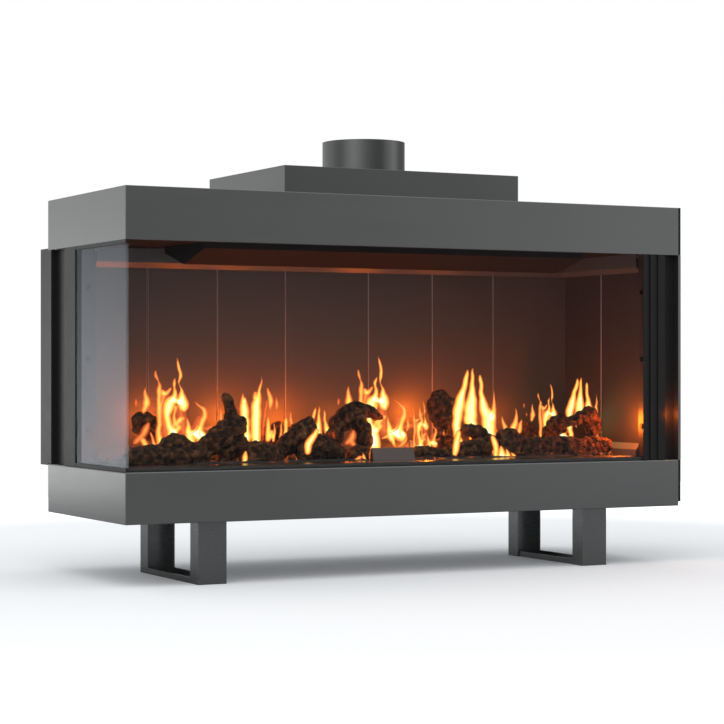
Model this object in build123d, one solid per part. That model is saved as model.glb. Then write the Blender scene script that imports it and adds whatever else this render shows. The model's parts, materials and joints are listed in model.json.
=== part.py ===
from build123d import *
import math
import os

# Corner gas fire for building in: glass on the front and the left end, flue spigot on top, two leg frames.
# All sizes are in millimetres. The pieces are drawn from the front left corner of the casing at floor level,
# with X to the right, Y to the back and Z up. They are moved as they are written, so that the origin is the
# middle of the footprint.

# Sheet metal and clearances
sheet = 1.5
thin_sheet = 0.8
gap = 0.3
slide_gap = 0.5
cut_through = 10.0

# Casing
band_width = 1089.5
band_depth = 376.0
duct_depth = 40.0
leg_height = 104.0
lower_band_height = 85.7
opening_height = 377.3
upper_band_height = 87.5
band_return = 12.0
band_soft_round = 3.0
band_fold_round = 1.2

# Right end: edge strip between the bands, side panel, recess and stepped glass post
cheek_width = 5.5
cheek_fold = 17.5
panel_setback = 0.5
panel_inset = 0.0
panel_bottom_gap = 8.0
panel_top_return = 16.0
right_post_inset = 77.5
right_post_width = 48.0
right_recess_depth = 16.0
post_lip = 8.0
post_rib_depth = 3.0
post_face_inset = 0.5
post_rib_widths = (8.0, 7.0, 10.0)

# Left end: glass post, recess and rear cheek
left_post_from_back = 139.0
left_post_width = 54.0
left_recess_depth = 10.7
left_cheek_depth = 16.0
left_cheek_lap = 3.0

# Base and air slots
upstand = 18.0
slot_length = 40.0
slot_width = 6.0
slot_pitch = 60.0
base_slot_rows = 2
base_slot_step = 30.0
duct_slot_height = 50.0

# Rear cover
rear_cover_inset = 16.0
rear_cover_bottom_gap = 8.0
rear_cover_top_gap = 9.5

# Flue box and spigot
flue_box_width = 467.0
flue_box_front = 57.0
flue_box_overhang = 2.0
flue_offset = 2.25
flue_box_height = 50.5
outer_flue_radius = 75.0
inner_flue_radius = 50.0
flue_wall = 1.0
spigot_height = 63.0
inner_spigot_drop = 5.0
flue_flange = 10.0

# Glass
glass_thickness = 4.0
glass_cover = 5.0
glass_lift = 10.0
channel_spare = 3.2
channel_lip_height = 6.3
seal_thickness = 1.5
seal_height = 5.0
trim_height = 6.3
trim_thickness = 1.2

# Lining of the firebox
back_wall_depth = 25.0
side_wall_depth = 20.5
lining_thickness = 10.0
lining_joint = 1.5
lining_chamfer = 1.0
lining_bottom_gap = 3.0
lining_top_gap = 6.0
back_panel_widths = (104.5, 136.2, 137.4, 173.9, 138.3, 136.0)
back_lining_length = 995.0
side_front_panel_width = 147.0
rail_depth = 21.0
rail_bevel = 10.0
lower_rail_height = 17.8
lower_bevel_height = 11.5
upper_rail_height = 25.0
upper_bevel_height = 9.5
strip_depth = 15.0
back_strip_left = 48.0
back_strip_width = 26.0
side_strip_front = 55.0
side_strip_width = 22.0
screw_first_height = 61.8
screw_spacing = 125.0
screw_count = 3
screw_head_radius = 5.0
screw_head_height = 2.4
screw_shank_radius = 2.5
screw_length = 12.0

# Ceiling and flue deflector
ceiling_above_opening = 5.0
exhaust_slot_margin = 69.5
exhaust_slot_from_lining = 67.0
exhaust_slot_width = 44.0
deflector_left = 180.0
deflector_from_right = 146.5
deflector_front = 95.0
deflector_from_lining = 78.0
deflector_tip_offset = 2.0
deflector_lip = 10.4
deflector_depth = 34.0

# Burner
tray_left = 33.0
tray_front = 80.0
tray_margin = 2.0
tray_rim = 6.8
deck_side_margin = 26.5
deck_front_margin = 40.0
deck_back_margin = 28.0
deck_height = 4.0
port_length = 30.0
port_width = 3.0
port_pitch = 80.0
port_row_inset = 45.0
bed_side_margin = 13.5
bed_front_margin = 20.0
bed_back_margin = 24.0
bed_depth = 7.8
manifold_left = 360.0
manifold_from_right = 246.0
manifold_width = 50.0
manifold_height = 38.7
manifold_slot_margin = 8.0
injector_hex = 14.0
injector_nose = 4.0

# Gas train
valve_from_leg = 30.0
valve_width = 85.0
valve_from_back = 176.0
valve_depth = 70.0
valve_height = 55.0
valve_foot = 8.0
knob_radius = 15.0
knob_length = 20.0
spindle_radius = 3.0
spindle_length = 14.0
running_gap = 0.05
main_pipe_radius = 5.0
pilot_pipe_radius = 2.0
port_boss = 9.0
boss_length = 8.0
valve_cover = 15.0
valve_cover_height = 6.0
main_bend = 8.0
inlet_bend = 14.0
pilot_bend = 12.0
inlet_from_left = 45.0
inlet_from_valve = 50.0
inlet_radius = 10.4
inlet_length = 17.0
inlet_hole_play = 1.6
inlet_nut = 16.0
inlet_nut_height = 12.0
pilot_from_right = 100.0
pilot_from_back = 15.0
pilot_hood = 6.0
pilot_hood_height = 30.0
pilot_spread = 16.0
receiver_from_left = 200.0
receiver_width = 100.0
receiver_gap = 20.0
receiver_depth = 46.0
receiver_height = 30.0

# Log set
log_set_width = 1013.0
log_set_depth = 248.0

# Bare plate at the front of the burner
plate_left = 506.0
plate_width = 83.0
plate_front = 97.0
plate_foot = 20.0
plate_lean = 10.0
plate_height = 27.3

# Legs
left_leg_start = 134.0
right_leg_inset = 149.5
leg_width = 51.0
leg_front = 15.0
leg_depth = 258.0
leg_upright = 34.0
leg_foot_height = 10.0
leg_sheet = 2.0
foot_bar_inset = 3.0
foot_bar_gap = 2.0
leg_travel = 50.0
sleeve_height = 63.0

# Relief hatches
hatch_hole = 104.0
hatch_size = 124.0
hatch_thickness = 2.0
hatch_from_back = 176.0
hinge_pin_radius = 2.0
hinge_barrel_radius = 3.5
hinge_height = 4.5
hinge_reach = 4.0
hinge_bracket = 8.0

# Levels and planes that follow from the sizes above
total_width = band_width + cheek_width
body_depth = band_depth + duct_depth
lining_front = band_depth - back_wall_depth
lining_right = band_width - side_wall_depth
left_post_start = band_depth - left_post_from_back
left_cheek_start = band_depth - left_cheek_depth
right_leg_end = band_width - right_leg_inset
lower_bottom = leg_height
lower_top = lower_bottom + lower_band_height
upper_bottom = lower_top + opening_height
upper_top = upper_bottom + upper_band_height
floor_top = lower_top - sheet
floor_bottom = floor_top - sheet
base_bottom = lower_bottom + sheet
base_top = base_bottom + sheet
rear_cover_bottom = leg_height + rear_cover_bottom_gap
rear_cover_top = upper_top - rear_cover_top_gap
roof_top = upper_top - sheet
roof_bottom = roof_top - sheet
ceiling = upper_bottom + ceiling_above_opening
cheek_left = band_width
panel_outer = total_width - panel_inset
panel_inner = panel_outer - sheet
firebox_back_plane = lining_front + lining_thickness
firebox_side_plane = lining_right + lining_thickness
right_post_start = band_width - right_post_inset
right_post_end = right_post_start + right_post_width
left_post_end = left_post_start + left_post_width
glass_outer = sheet + gap
glass_inner = glass_outer + glass_thickness
glass_bottom = lower_top + thin_sheet + gap
glass_top = upper_bottom + glass_cover
pane_hold = post_lip - sheet - gap
channel_lip = glass_inner + gap + seal_thickness
channel_back = channel_lip + thin_sheet
channel_top = glass_top + glass_lift + channel_spare
tray_floor = floor_top + sheet
tray_right = lining_right - rail_depth - tray_margin
tray_back = lining_front - rail_depth - tray_margin
deck_left = tray_left + deck_side_margin
deck_right = tray_right - deck_side_margin
deck_front = tray_front + deck_front_margin
deck_back = tray_back - deck_back_margin
deck_top = tray_floor + deck_height
bed_left = tray_left + bed_side_margin
bed_right = tray_right - bed_side_margin
bed_front = tray_front + bed_front_margin
bed_back = tray_back - bed_back_margin
manifold_right = tray_right - manifold_from_right
manifold_front = (deck_front + deck_back - manifold_width) / 2
manifold_back = manifold_front + manifold_width
valve_left = left_leg_start + leg_width + valve_from_leg
valve_front = band_depth - valve_from_back
inlet_x = valve_left + inlet_from_left
inlet_y = valve_front + valve_depth + inlet_from_valve
pilot_x = manifold_right - pilot_from_right
pilot_y = tray_back - pilot_from_back
receiver_left = manifold_left + receiver_from_left
receiver_front = manifold_back + receiver_gap
bed_top = tray_floor + bed_depth
flue_box_left = (band_width - flue_box_width) / 2
flue_box_right = flue_box_left + flue_box_width
flue_box_back = band_depth + flue_box_overhang
flue_x = band_width / 2 + flue_offset
flue_y = (flue_box_front + flue_box_back) / 2
left_hatch_x = flue_box_left / 2
right_hatch_x = (flue_box_right + band_width) / 2
hatch_centre_y = band_depth - hatch_from_back
flue_box_top = upper_top + flue_box_height
spigot_top = flue_box_top + spigot_height
right_leg_start = right_leg_end - leg_width
leg_back = leg_front + leg_depth
leg_top = floor_bottom - gap

os.makedirs("parts", exist_ok=True)


def block(x0, x1, y0, y1, z0, z1):
    """Box between two corners."""
    return Pos((x0 + x1) / 2, (y0 + y1) / 2, (z0 + z1) / 2) * Box(x1 - x0, y1 - y0, z1 - z0)


def tube_up(x, y, radius, wall, z0, z1):
    """Upright round tube."""
    height = z1 - z0
    middle = Pos(x, y, (z0 + z1) / 2)
    return middle * Cylinder(radius, height) - middle * Cylinder(radius - wall, height)


def rod(start, end, radius):
    """Straight round bar from one point to another."""
    start, end = Vector(*start), Vector(*end)
    return extrude(Plane(start, z_dir=end - start) * Circle(radius), (end - start).length)


def fluted(start, end, radius, flats=20):
    """Bar from one point to another with flats round it."""
    start, end = Vector(*start), Vector(*end)
    return extrude(Plane(start, z_dir=end - start) * RegularPolygon(radius, flats), (end - start).length)


def folded(points, thickness=sheet):
    """Outline of a folded sheet: the given line and the same line moved to its left by the thickness."""
    line = [Vector(*p) for p in points]
    steps = [(b - a).normalized() for a, b in zip(line, line[1:])]
    sides = [Vector(-s.Y, s.X) for s in steps]
    inner = [line[0] + sides[0] * thickness]
    for point, before, after in zip(line[1:], sides, sides[1:]):
        inner.append(point + (before + after) * (thickness / (1 + before.dot(after))))
    inner.append(line[-1] + sides[-1] * thickness)
    return line + inner[::-1]


def upright_profile(outline, z0, z1):
    """Plan outline in X and Y, raised from one level to another."""
    face = make_face(Polyline(*[(p.X, p.Y, z0) for p in outline], close=True))
    return extrude(face, z1 - z0, dir=(0, 0, 1))


def across_profile(outline, x0, x1):
    """Outline in Y and Z, drawn out along X."""
    face = make_face(Polyline(*[(x0, p.X, p.Y) for p in outline], close=True))
    return extrude(face, x1 - x0, dir=(1, 0, 0))


def deep_profile(outline, y0, y1):
    """Outline in X and Z, drawn out along Y."""
    face = make_face(Polyline(*[(p.X, y0, p.Y) for p in outline], close=True))
    return extrude(face, y1 - y0, dir=(0, 1, 0))


def save(name, *solids):
    """Move the solids of one node to the middle of the footprint and write them."""
    moved = [Pos(-total_width / 2, -body_depth / 2, 0) * s for s in solids]
    export_step(moved[0] if len(moved) == 1 else Compound(children=moved), f"parts/{name}.step")


def band(z0, z1, open_bottom, top_round, bottom_round):
    """Front and left bands folded from one sheet, with returns at the top, the free ends and the bottom."""
    body = block(0, band_width, 0, band_depth, z0, z1)
    corner = body.edges().filter_by(Axis.Z).sort_by(lambda e: e.center().X + e.center().Y)[0]
    body = fillet(corner, band_fold_round)

    def rim(level):
        edges = body.edges().filter_by(lambda e: abs(e.center().Z - level) < 0.01)
        return [e for e in edges if e.center().Y < band_depth - 1 and e.center().X < band_width - 1]

    body = fillet(rim(z1), top_round)
    if not open_bottom:
        body = fillet(rim(z0), bottom_round)
    inner_bottom = z0 - sheet if open_bottom else z0 + sheet
    hollow = block(sheet, band_width - sheet, sheet, band_depth - sheet, inner_bottom, z1 - sheet)
    if top_round > sheet:
        top = hollow.edges().filter_by(lambda e: abs(e.center().Z - (z1 - sheet)) < 0.01)
        seen = [e for e in top if e.center().Y < band_depth - 5 and e.center().X < band_width - 5]
        hollow = fillet(seen, top_round - sheet)
    middle = block(band_return, band_width + 1, band_return, band_depth + 1, z0 - 1, z1 + 1)
    return body - hollow - middle


# Casing
save("lower_fascia", band(lower_bottom, lower_top, False, band_soft_round, band_fold_round))
save("upper_fascia", band(upper_bottom, upper_top, True, band_fold_round, 0))


def leg_columns(start, margin):
    """The two upright columns of a leg frame in plan, grown by a margin: x0, x1, y0, y1."""
    x0, x1 = start - margin, start + leg_width + margin
    front = (x0, x1, leg_front - margin, leg_front + leg_upright + margin)
    back = (x0, x1, leg_back - leg_upright - margin, leg_back + margin)
    return front, back


def slot_row(x0, x1, y0, y1, z0, z1):
    """Row of equal air slots between two points of a sheet."""
    count = int((x1 - x0 - slot_length) // slot_pitch) + 1
    starts = [x0 + n * slot_pitch for n in range(count)]
    return [block(x, x + slot_length, y0, y1, z0, z1) for x in starts]


def casing_plate(z0, z1):
    """Plate that fills the casing in plan and clears the end returns of the bands."""
    end, free = band_return + gap, sheet + gap
    plate = block(glass_outer, band_width - free, glass_outer, band_depth - free, z0, z1)
    plate += block(end, panel_inner, end, band_depth, z0, z1)
    return plate


def casing_base():
    """Bottom plate with the welded leg sleeves, the air slots and the hole for the gas inlet."""
    plate = casing_plate(base_bottom, base_top)
    clear = band_return + gap
    plate += block(panel_inner - sheet, panel_inner, clear, band_depth, base_bottom, base_top + upstand)
    for start in (left_leg_start, right_leg_start):
        for x0, x1, y0, y1 in leg_columns(start, slide_gap + sheet):
            plate += block(x0, x1, y0, y1, base_top, base_top + sleeve_height)
        for x0, x1, y0, y1 in leg_columns(start, slide_gap):
            plate -= block(x0, x1, y0, y1, base_bottom - 1, base_top + sleeve_height + 1)
    first, last = valve_left + valve_width, right_leg_start - slot_pitch
    for n in range(base_slot_rows):
        row = tray_front + n * base_slot_step
        plate -= slot_row(first, last, row, row + slot_width, base_bottom - 1, base_top + 1)
    return plate - Pos(inlet_x, inlet_y, base_bottom) * Cylinder(inlet_radius + inlet_hole_play, cut_through)


def casing_top():
    """Top plate, which is also the roof of the exhaust chamber, with the flue hole and two hatch holes."""
    clear, under, over = band_return + gap, roof_bottom - 1, roof_top + 1
    plate = casing_plate(roof_bottom, roof_top)
    plate += block(clear, panel_inner, band_depth - sheet, band_depth, roof_bottom - upstand, roof_bottom)
    first, last = flue_box_left + upstand, flue_box_right - upstand
    duct_front, duct_back = firebox_back_plane + 2 * sheet, band_depth - 2 * sheet
    plate -= slot_row(first, last, duct_front, duct_back, under, over)
    plate -= Pos(flue_x, flue_y, roof_bottom) * Cylinder(inner_flue_radius - flue_wall / 2, cut_through)
    for x in (left_hatch_x, right_hatch_x):
        half = hatch_hole / 2
        plate -= block(x - half, x + half, hatch_centre_y - half, hatch_centre_y + half, under, over)
    return plate


def right_side_panel():
    """Right side panel, set back behind the bands, with a notch for the edge strip between them."""
    bottom = lower_bottom + panel_bottom_gap
    inner_edge, clear = panel_outer - panel_top_return, band_return + gap
    panel = block(panel_inner, panel_outer, panel_setback, band_depth, bottom, upper_top)
    panel += block(band_width + gap, panel_outer, panel_setback, panel_setback + sheet, bottom, upper_top)
    panel += block(inner_edge, panel_outer, clear, band_depth, roof_top, upper_top)
    notch_back = cheek_fold + gap
    return panel - block(band_width, panel_outer + 1, 0, notch_back, lower_top - gap, upper_bottom + gap)


def right_cheek():
    """Edge strip between the bands at the right end."""
    outline = folded([(cheek_left, cheek_fold), (cheek_left, 0), (total_width, 0), (total_width, cheek_fold)])
    return upright_profile(outline, lower_top, upper_bottom)


def left_rear_cheek():
    """Recess floor, return and side face behind the left glass post, closed at both ends.

    Behind the bands the side face and its back return lap over the band edges by a few millimetres.
    """
    recess_back = left_cheek_start + sheet
    wall = left_recess_depth + sheet
    piece = block(left_recess_depth, wall, left_post_end, recess_back, lower_top, upper_bottom)
    piece += block(0, wall, left_cheek_start, recess_back, lower_top, upper_bottom)
    piece += block(0, sheet, left_cheek_start, body_depth, lower_top, upper_bottom)
    piece += block(0, rear_cover_inset - gap, body_depth - sheet, body_depth, lower_top, upper_bottom)
    for z in (lower_top, upper_bottom - sheet):
        piece += block(0, wall, left_cheek_start, body_depth, z, z + sheet)
    behind, low, high = band_depth + gap, lower_top - left_cheek_lap, upper_bottom + left_cheek_lap
    for z0, z1 in ((low, lower_top), (upper_bottom, high)):
        piece += block(0, sheet, behind, body_depth, z0, z1)
        piece += block(0, rear_cover_inset - gap, body_depth - sheet, body_depth, z0, z1)
    return piece


def rear_cover():
    """Rear pan that makes the air duct, with a flange all round against the casing."""
    left, right, before = rear_cover_inset, panel_inner, band_depth - 1
    bottom, top = rear_cover_bottom, rear_cover_top
    pan = block(left, right, band_depth, body_depth, bottom, top)
    pan -= block(left + sheet, right - sheet, before, body_depth - sheet, bottom + sheet, top - sheet)
    flange = block(glass_outer, right, band_depth, band_depth + sheet, base_bottom, roof_top)
    flange -= block(left, right - sheet, before, body_depth, bottom, top)
    reach = left_cheek_lap + gap
    flange -= block(0, left, before, body_depth, lower_top - reach, upper_bottom + reach)
    return pan + flange


save("casing_base", casing_base())
save("casing_top", casing_top())
save("right_side_panel", right_side_panel())
save("right_cheek", right_cheek())
save("left_rear_cheek", left_rear_cheek())
save("rear_cover", rear_cover())


# Glass posts
def right_glass_post():
    """Stepped stile that holds the end of the front pane, running on into the floor of the recess."""
    x, face, floor = right_post_start, post_face_inset, right_recess_depth
    line = [(x, 0), (x + post_lip, 0)]
    x += post_lip
    level = 0
    for n, width in enumerate(post_rib_widths):
        level = post_rib_depth if n % 2 == 0 else face
        line.append((x, level))
        x += width
        line.append((x, level))
    line += [(x, face), (right_post_end, face), (right_post_end, floor), (cheek_left, floor)]
    return upright_profile(folded(line), lower_top, upper_bottom)


def left_glass_post():
    """Plain stile that holds the rear end of the side pane."""
    inner = left_recess_depth
    line = [(inner, left_post_end), (0, left_post_end), (0, left_post_start)]
    return upright_profile(folded(line), lower_top, upper_bottom)


save("right_glass_post", right_glass_post())
save("left_glass_post", left_glass_post())


# Flue box and spigot
def flue_box():
    """Raised air box under the spigot, open below."""
    right, back = flue_box_right, flue_box_back
    box = block(flue_box_left, right, flue_box_front, back, roof_top, flue_box_top)
    sides = box.edges().filter_by(lambda e: e.center().Z > roof_top + 1)
    box = chamfer(sides, band_fold_round / 2)
    box -= block(flue_box_left + sheet, right - sheet, flue_box_front + sheet, back - sheet,
                 roof_top - 1, flue_box_top - sheet)
    return box - Pos(flue_x, flue_y, flue_box_top) * Cylinder(outer_flue_radius - flue_wall / 2, cut_through)


def flue_collar(radius, bottom, top):
    """Round collar with a flange that lies on the sheet, over a hole in it."""
    collar = tube_up(flue_x, flue_y, radius, flue_wall, bottom, top)
    reach, width = radius + flue_flange, flue_flange + flue_wall
    return collar + tube_up(flue_x, flue_y, reach, width, bottom, bottom + sheet)


save("flue_box", flue_box())
save("outer_flue_collar", flue_collar(outer_flue_radius, flue_box_top, spigot_top))
save("inner_flue_collar", flue_collar(inner_flue_radius, roof_top, spigot_top - inner_spigot_drop))


# Firebox
def firebox_floor():
    """Floor plate under the burner with the gas slot and the hole for the pilot pipe."""
    front = band_soft_round + gap
    plate = block(front, firebox_side_plane, front, firebox_back_plane, floor_bottom, floor_top)
    plate -= slot_row(strip_right + 10, rail_x - 10, rail_y + 3 * sheet, lining_front - 3 * sheet,
                      floor_bottom - 1, floor_top + 1)
    return plate - burner_slot(floor_bottom - 1, floor_top + 1) - pilot_hole(floor_bottom)


def burner_slot(z0, z1):
    """Space where the gas passes from the manifold to the deck."""
    m = manifold_slot_margin
    return block(manifold_left + m, manifold_right - m, manifold_front + m, manifold_back - m, z0, z1)


def pilot_hole(z):
    return Pos(pilot_x, pilot_y, z) * Cylinder(pilot_pipe_radius + gap, 10)


left_end = left_recess_depth + sheet
side_back = firebox_side_plane + sheet
strip_right = back_strip_left + back_strip_width
rail_y = lining_front - rail_depth
rail_x = lining_right - rail_depth
save("firebox_floor", firebox_floor())
back_plane, side_plane = firebox_back_plane, firebox_side_plane
firebox_back = block(left_end, side_back, back_plane, back_plane + sheet, base_top, roof_bottom)
duct_low = (floor_bottom + base_top - duct_slot_height) / 2
duct_high = duct_low + duct_slot_height
first, last = left_end + slot_pitch / 2, side_back - slot_pitch / 2
firebox_back -= slot_row(first, last, back_plane - 1, back_plane + 3, duct_low, duct_high)
save("firebox_back", firebox_back)
side_front = right_recess_depth + sheet
save("firebox_side", block(side_plane, side_back, side_front, back_plane, base_top, roof_bottom))
slot_left, slot_right = exhaust_slot_margin, band_width - exhaust_slot_margin
slot_front = lining_front - exhaust_slot_from_lining
slot_end = slot_front + exhaust_slot_width
baffle = block(channel_back, side_plane, channel_back, back_plane, ceiling, ceiling + sheet)
baffle -= block(slot_left, slot_right, slot_front, slot_end, ceiling - 1, ceiling + 3)
save("ceiling_baffle", baffle)


def lining_panel(x0, x1, y0, y1, front):
    """One board of the lining, with its two visible upright edges chamfered."""
    board = block(x0, x1, y0, y1, floor_top + lining_bottom_gap, ceiling - lining_top_gap)
    edges = [e for e in board.edges().filter_by(Axis.Z) if front(e.center())]
    return chamfer(edges, lining_chamfer)


half_joint = lining_joint / 2
stretch = (lining_right - strip_right) / back_lining_length
left = strip_right
for number, width in enumerate(back_panel_widths + (None,), start=1):
    right = lining_right if width is None else left + width * stretch
    start = left + (half_joint if number > 1 else gap)
    end = right - (gap if width is None else half_joint)
    save(f"back_lining_{number}", lining_panel(start, end, lining_front, firebox_back_plane,
                                               lambda c: c.Y < lining_front + 1))
    left = right
side_start = side_strip_front + side_strip_width
side_joint = side_start + side_front_panel_width
for number, (y0, y1) in enumerate(((side_start + gap, side_joint - half_joint),
                                   (side_joint + half_joint, firebox_back_plane - gap)), start=1):
    save(f"side_lining_{number}", lining_panel(lining_right, firebox_side_plane, y0, y1,
                                               lambda c: c.X < lining_right + 1))


def lower_rail(face):
    """Outline of the lower lining rail: foot on the floor, upright, bevel towards the lining."""
    bend = floor_top + lower_rail_height
    line = [(face, floor_top), (face, bend), (face + rail_bevel, bend + lower_bevel_height)]
    return folded(line, -sheet)


def upper_rail(face):
    """Outline of the upper lining rail: hung from the ceiling, bevel towards the lining."""
    bend = ceiling - upper_rail_height
    line = [(face, ceiling), (face, bend), (face + rail_bevel, bend - upper_bevel_height)]
    return folded(line, sheet)


rails = []
for outline in (lower_rail, upper_rail):
    back_rail = across_profile(outline(rail_y), strip_right, rail_x + rail_bevel)
    side_rail = deep_profile(outline(rail_x), side_start, rail_y + rail_bevel)
    rails.append(back_rail + side_rail)
save("lining_rails", *rails)


def end_strip(back):
    """Folded strip that covers the end of the lining."""
    if back:
        y = lining_front - strip_depth
        line = [(back_strip_left, firebox_back_plane), (back_strip_left, y), (strip_right, y),
                (strip_right, firebox_back_plane)]
    else:
        x = lining_right - strip_depth
        line = [(firebox_side_plane, side_start), (x, side_start), (x, side_strip_front),
                (firebox_side_plane, side_strip_front)]
    return upright_profile(folded(line), floor_top, ceiling)


def screw(base, direction):
    """Screw with a flat round head lying on the strip; direction points out of the wall."""
    out = Vector(*direction)
    head = extrude(Plane(base, z_dir=out) * RegularPolygon(screw_head_radius, 16), screw_head_height)
    head = chamfer(head.faces().sort_by(lambda f: f.center().dot(out))[-1].edges(), 1)
    return head + screw_shank(base, direction, screw_shank_radius)


def screw_shank(base, direction, radius):
    """Shank of a screw, or at a slightly larger radius the hole for it."""
    return extrude(Plane(base, z_dir=-Vector(*direction)) * RegularPolygon(radius, 8), screw_length)


levels = [floor_top + screw_first_height + n * screw_spacing for n in range(screw_count)]
back_x, back_y = back_strip_left + back_strip_width / 2, lining_front - strip_depth
side_x, side_y = lining_right - strip_depth, side_strip_front + side_strip_width / 2
back_screws = [screw(Vector(back_x, back_y, z), (0, -1, 0)) for z in levels]
side_screws = [screw(Vector(side_x, side_y, z), (-1, 0, 0)) for z in levels]
hole = screw_shank_radius + running_gap
back_holes = [screw_shank(Vector(back_x, back_y, z), (0, -1, 0), hole) for z in levels]
side_holes = [screw_shank(Vector(side_x, side_y, z), (-1, 0, 0), hole) for z in levels]
save("lining_end_strips", end_strip(True) - back_holes, end_strip(False) - side_holes)
save("lining_screws", *back_screws, *side_screws)


def flue_deflector():
    """V shaped trough under the ceiling that spreads the exhaust, closed at both ends."""
    lip_bottom = ceiling - deflector_lip
    front, rear = deflector_front, lining_front - deflector_from_lining
    tip = ((front + rear) / 2 + deflector_tip_offset, ceiling - deflector_depth)
    line = [(front, ceiling), (front, lip_bottom), tip, (rear, lip_bottom), (rear, ceiling)]
    right = band_width - deflector_from_right
    trough = across_profile(folded(line), deflector_left, right)
    end = [Vector(*p) for p in line]
    for x in (deflector_left, right - sheet):
        trough += across_profile(end, x, x + sheet)
    return trough


save("flue_deflector", flue_deflector())

# Glass, its channels, seals and trims
side_pane_end = left_post_start + pane_hold
front_pane_end = right_post_start + pane_hold
mitre = glass_inner + gap
save("front_glass", block(mitre, front_pane_end, glass_outer, glass_inner, glass_bottom, glass_top))
save("side_glass", block(glass_outer, glass_inner, glass_outer, side_pane_end, glass_bottom, glass_top))


def corner_strip(start, thickness, z0, z1):
    """Strip that runs along the front and the left side, its outer faces at the same distance from both."""
    front = block(start, front_pane_end, start, start + thickness, z0, z1)
    return front + block(start, start + thickness, start, side_pane_end, z0, z1)


base_width = channel_back - sheet
lip_top = lower_top + channel_lip_height
lower_channel = corner_strip(sheet, base_width, lower_top, lower_top + thin_sheet)
lower_channel += corner_strip(channel_lip, thin_sheet, lower_top, lip_top)
upper_channel = corner_strip(sheet, base_width, channel_top, channel_top + thin_sheet)
upper_channel += corner_strip(channel_lip, thin_sheet, upper_bottom, channel_top)
save("glass_channels", lower_channel, upper_channel)

seals = []
seal_front = channel_lip - seal_thickness
seal_foot = lower_top + thin_sheet
for z0, z1 in ((seal_foot, seal_foot + seal_height), (upper_bottom, channel_top)):
    seals.append(block(channel_back, right_post_start - gap, seal_front, channel_lip, z0, z1))
    seals.append(block(seal_front, channel_lip, channel_back, left_post_start - gap, z0, z1))
save("glass_seals", *seals)

trims = []
trim_face = sheet - trim_thickness
for z in (lower_top, upper_bottom - trim_height):
    trims.append(block(trim_face, sheet, trim_face, left_post_start, z, z + trim_height))
save("side_glass_trims", *trims)


# Burner
def burner_tray():
    """Shallow tray with a rim all round."""
    tray = block(tray_left, tray_right, tray_front, tray_back, floor_top, floor_top + tray_rim)
    tray -= block(tray_left + sheet, tray_right - sheet, tray_front + sheet, tray_back - sheet,
                  tray_floor, floor_top + tray_rim + 1)
    return tray - burner_slot(floor_top - 1, tray_floor + 1) - pilot_hole(floor_top)


def burner_deck():
    """Flat burner with two rows of ports, folded down at its edges onto the tray."""
    deck = block(deck_left, deck_right, deck_front, deck_back, tray_floor, deck_top)
    deck -= block(deck_left + sheet, deck_right - sheet, deck_front + sheet, deck_back - sheet,
                  tray_floor - 1, deck_top - sheet)
    count = int((deck_right - deck_left - port_pitch) // port_pitch) + 1
    first = (deck_left + deck_right - (count - 1) * port_pitch) / 2
    half = port_length / 2
    for row in (deck_front + port_row_inset, deck_back - port_row_inset):
        for x in [first + n * port_pitch for n in range(count)]:
            deck -= block(x - half, x + half, row, row + port_width, tray_floor, deck_top + 1)
    return deck


def ember_bed():
    """Bed of embers with an uneven edge, filling the tray over and around the deck."""
    middle_x, middle_y = (bed_left + bed_right) / 2, (bed_front + bed_back) / 2
    half_x, half_y = (bed_right - bed_left) / 2, (bed_back - bed_front) / 2
    points = []
    count = 48
    for n in range(count):
        angle = 2 * math.pi * n / count
        c, s = math.cos(angle), math.sin(angle)
        round_off = (abs(c) ** 6 + abs(s) ** 6) ** (-1 / 6)
        inset = 3 * (1 + math.sin(7 * angle)) + 1.5 * (1 + math.cos(11 * angle))
        x = middle_x + (half_x - inset) * round_off * c
        y = middle_y + (half_y - inset) * round_off * s
        points.append((x, y, tray_floor))
    bed = extrude(make_face(Polyline(*points, close=True)), bed_depth, dir=(0, 0, 1))
    bed = chamfer(bed.edges().group_by(Axis.Z)[-1], 1.2)
    bed -= block(deck_left, deck_right, deck_front, deck_back, tray_floor - 1, deck_top)
    left, right = plate_left - gap, plate_left + plate_width + gap
    back = plate_front + plate_foot + gap
    return bed - block(left, right, tray_front, back, tray_floor - 1, bed_top + 1)


save("burner_tray", burner_tray())
save("burner_deck", burner_deck())
save("ember_bed", ember_bed())

manifold_bottom = floor_bottom - manifold_height
injector_y = (manifold_front + manifold_back) / 2
injector_z = manifold_bottom + manifold_height / 2
left, right, inner = manifold_left, manifold_right, manifold_left + sheet
manifold = block(left, right, manifold_front, manifold_back, manifold_bottom, floor_bottom)
manifold = fillet(manifold.edges().group_by(Axis.Z)[0], band_fold_round)
manifold -= block(inner, right - sheet, manifold_front + sheet, manifold_back - sheet,
                  manifold_bottom + sheet, floor_bottom + 1)
bore = injector_nose + running_gap
manifold -= rod((left - 1, injector_y, injector_z), (inner + 1, injector_y, injector_z), bore)
save("burner_manifold", manifold)

injector_start = left - injector_hex
hexagon = Plane((injector_start, injector_y, injector_z), z_dir=(1, 0, 0)) * RegularPolygon(8, 6)
nose = rod((left, injector_y, injector_z), (inner + injector_nose, injector_y, injector_z), injector_nose)
save("burner_injector", extrude(hexagon, injector_hex) + nose)

# Gas train
valve_right = valve_left + valve_width
valve_back = valve_front + valve_depth
valve_bottom = base_top + valve_foot
valve_top = valve_bottom + valve_height
outlet_y = valve_front + valve_depth / 2
outlet_z = valve_bottom + valve_height * 0.55
knob_x = valve_left + valve_width * 0.35
knob_z = valve_bottom + valve_height * 0.5


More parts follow.
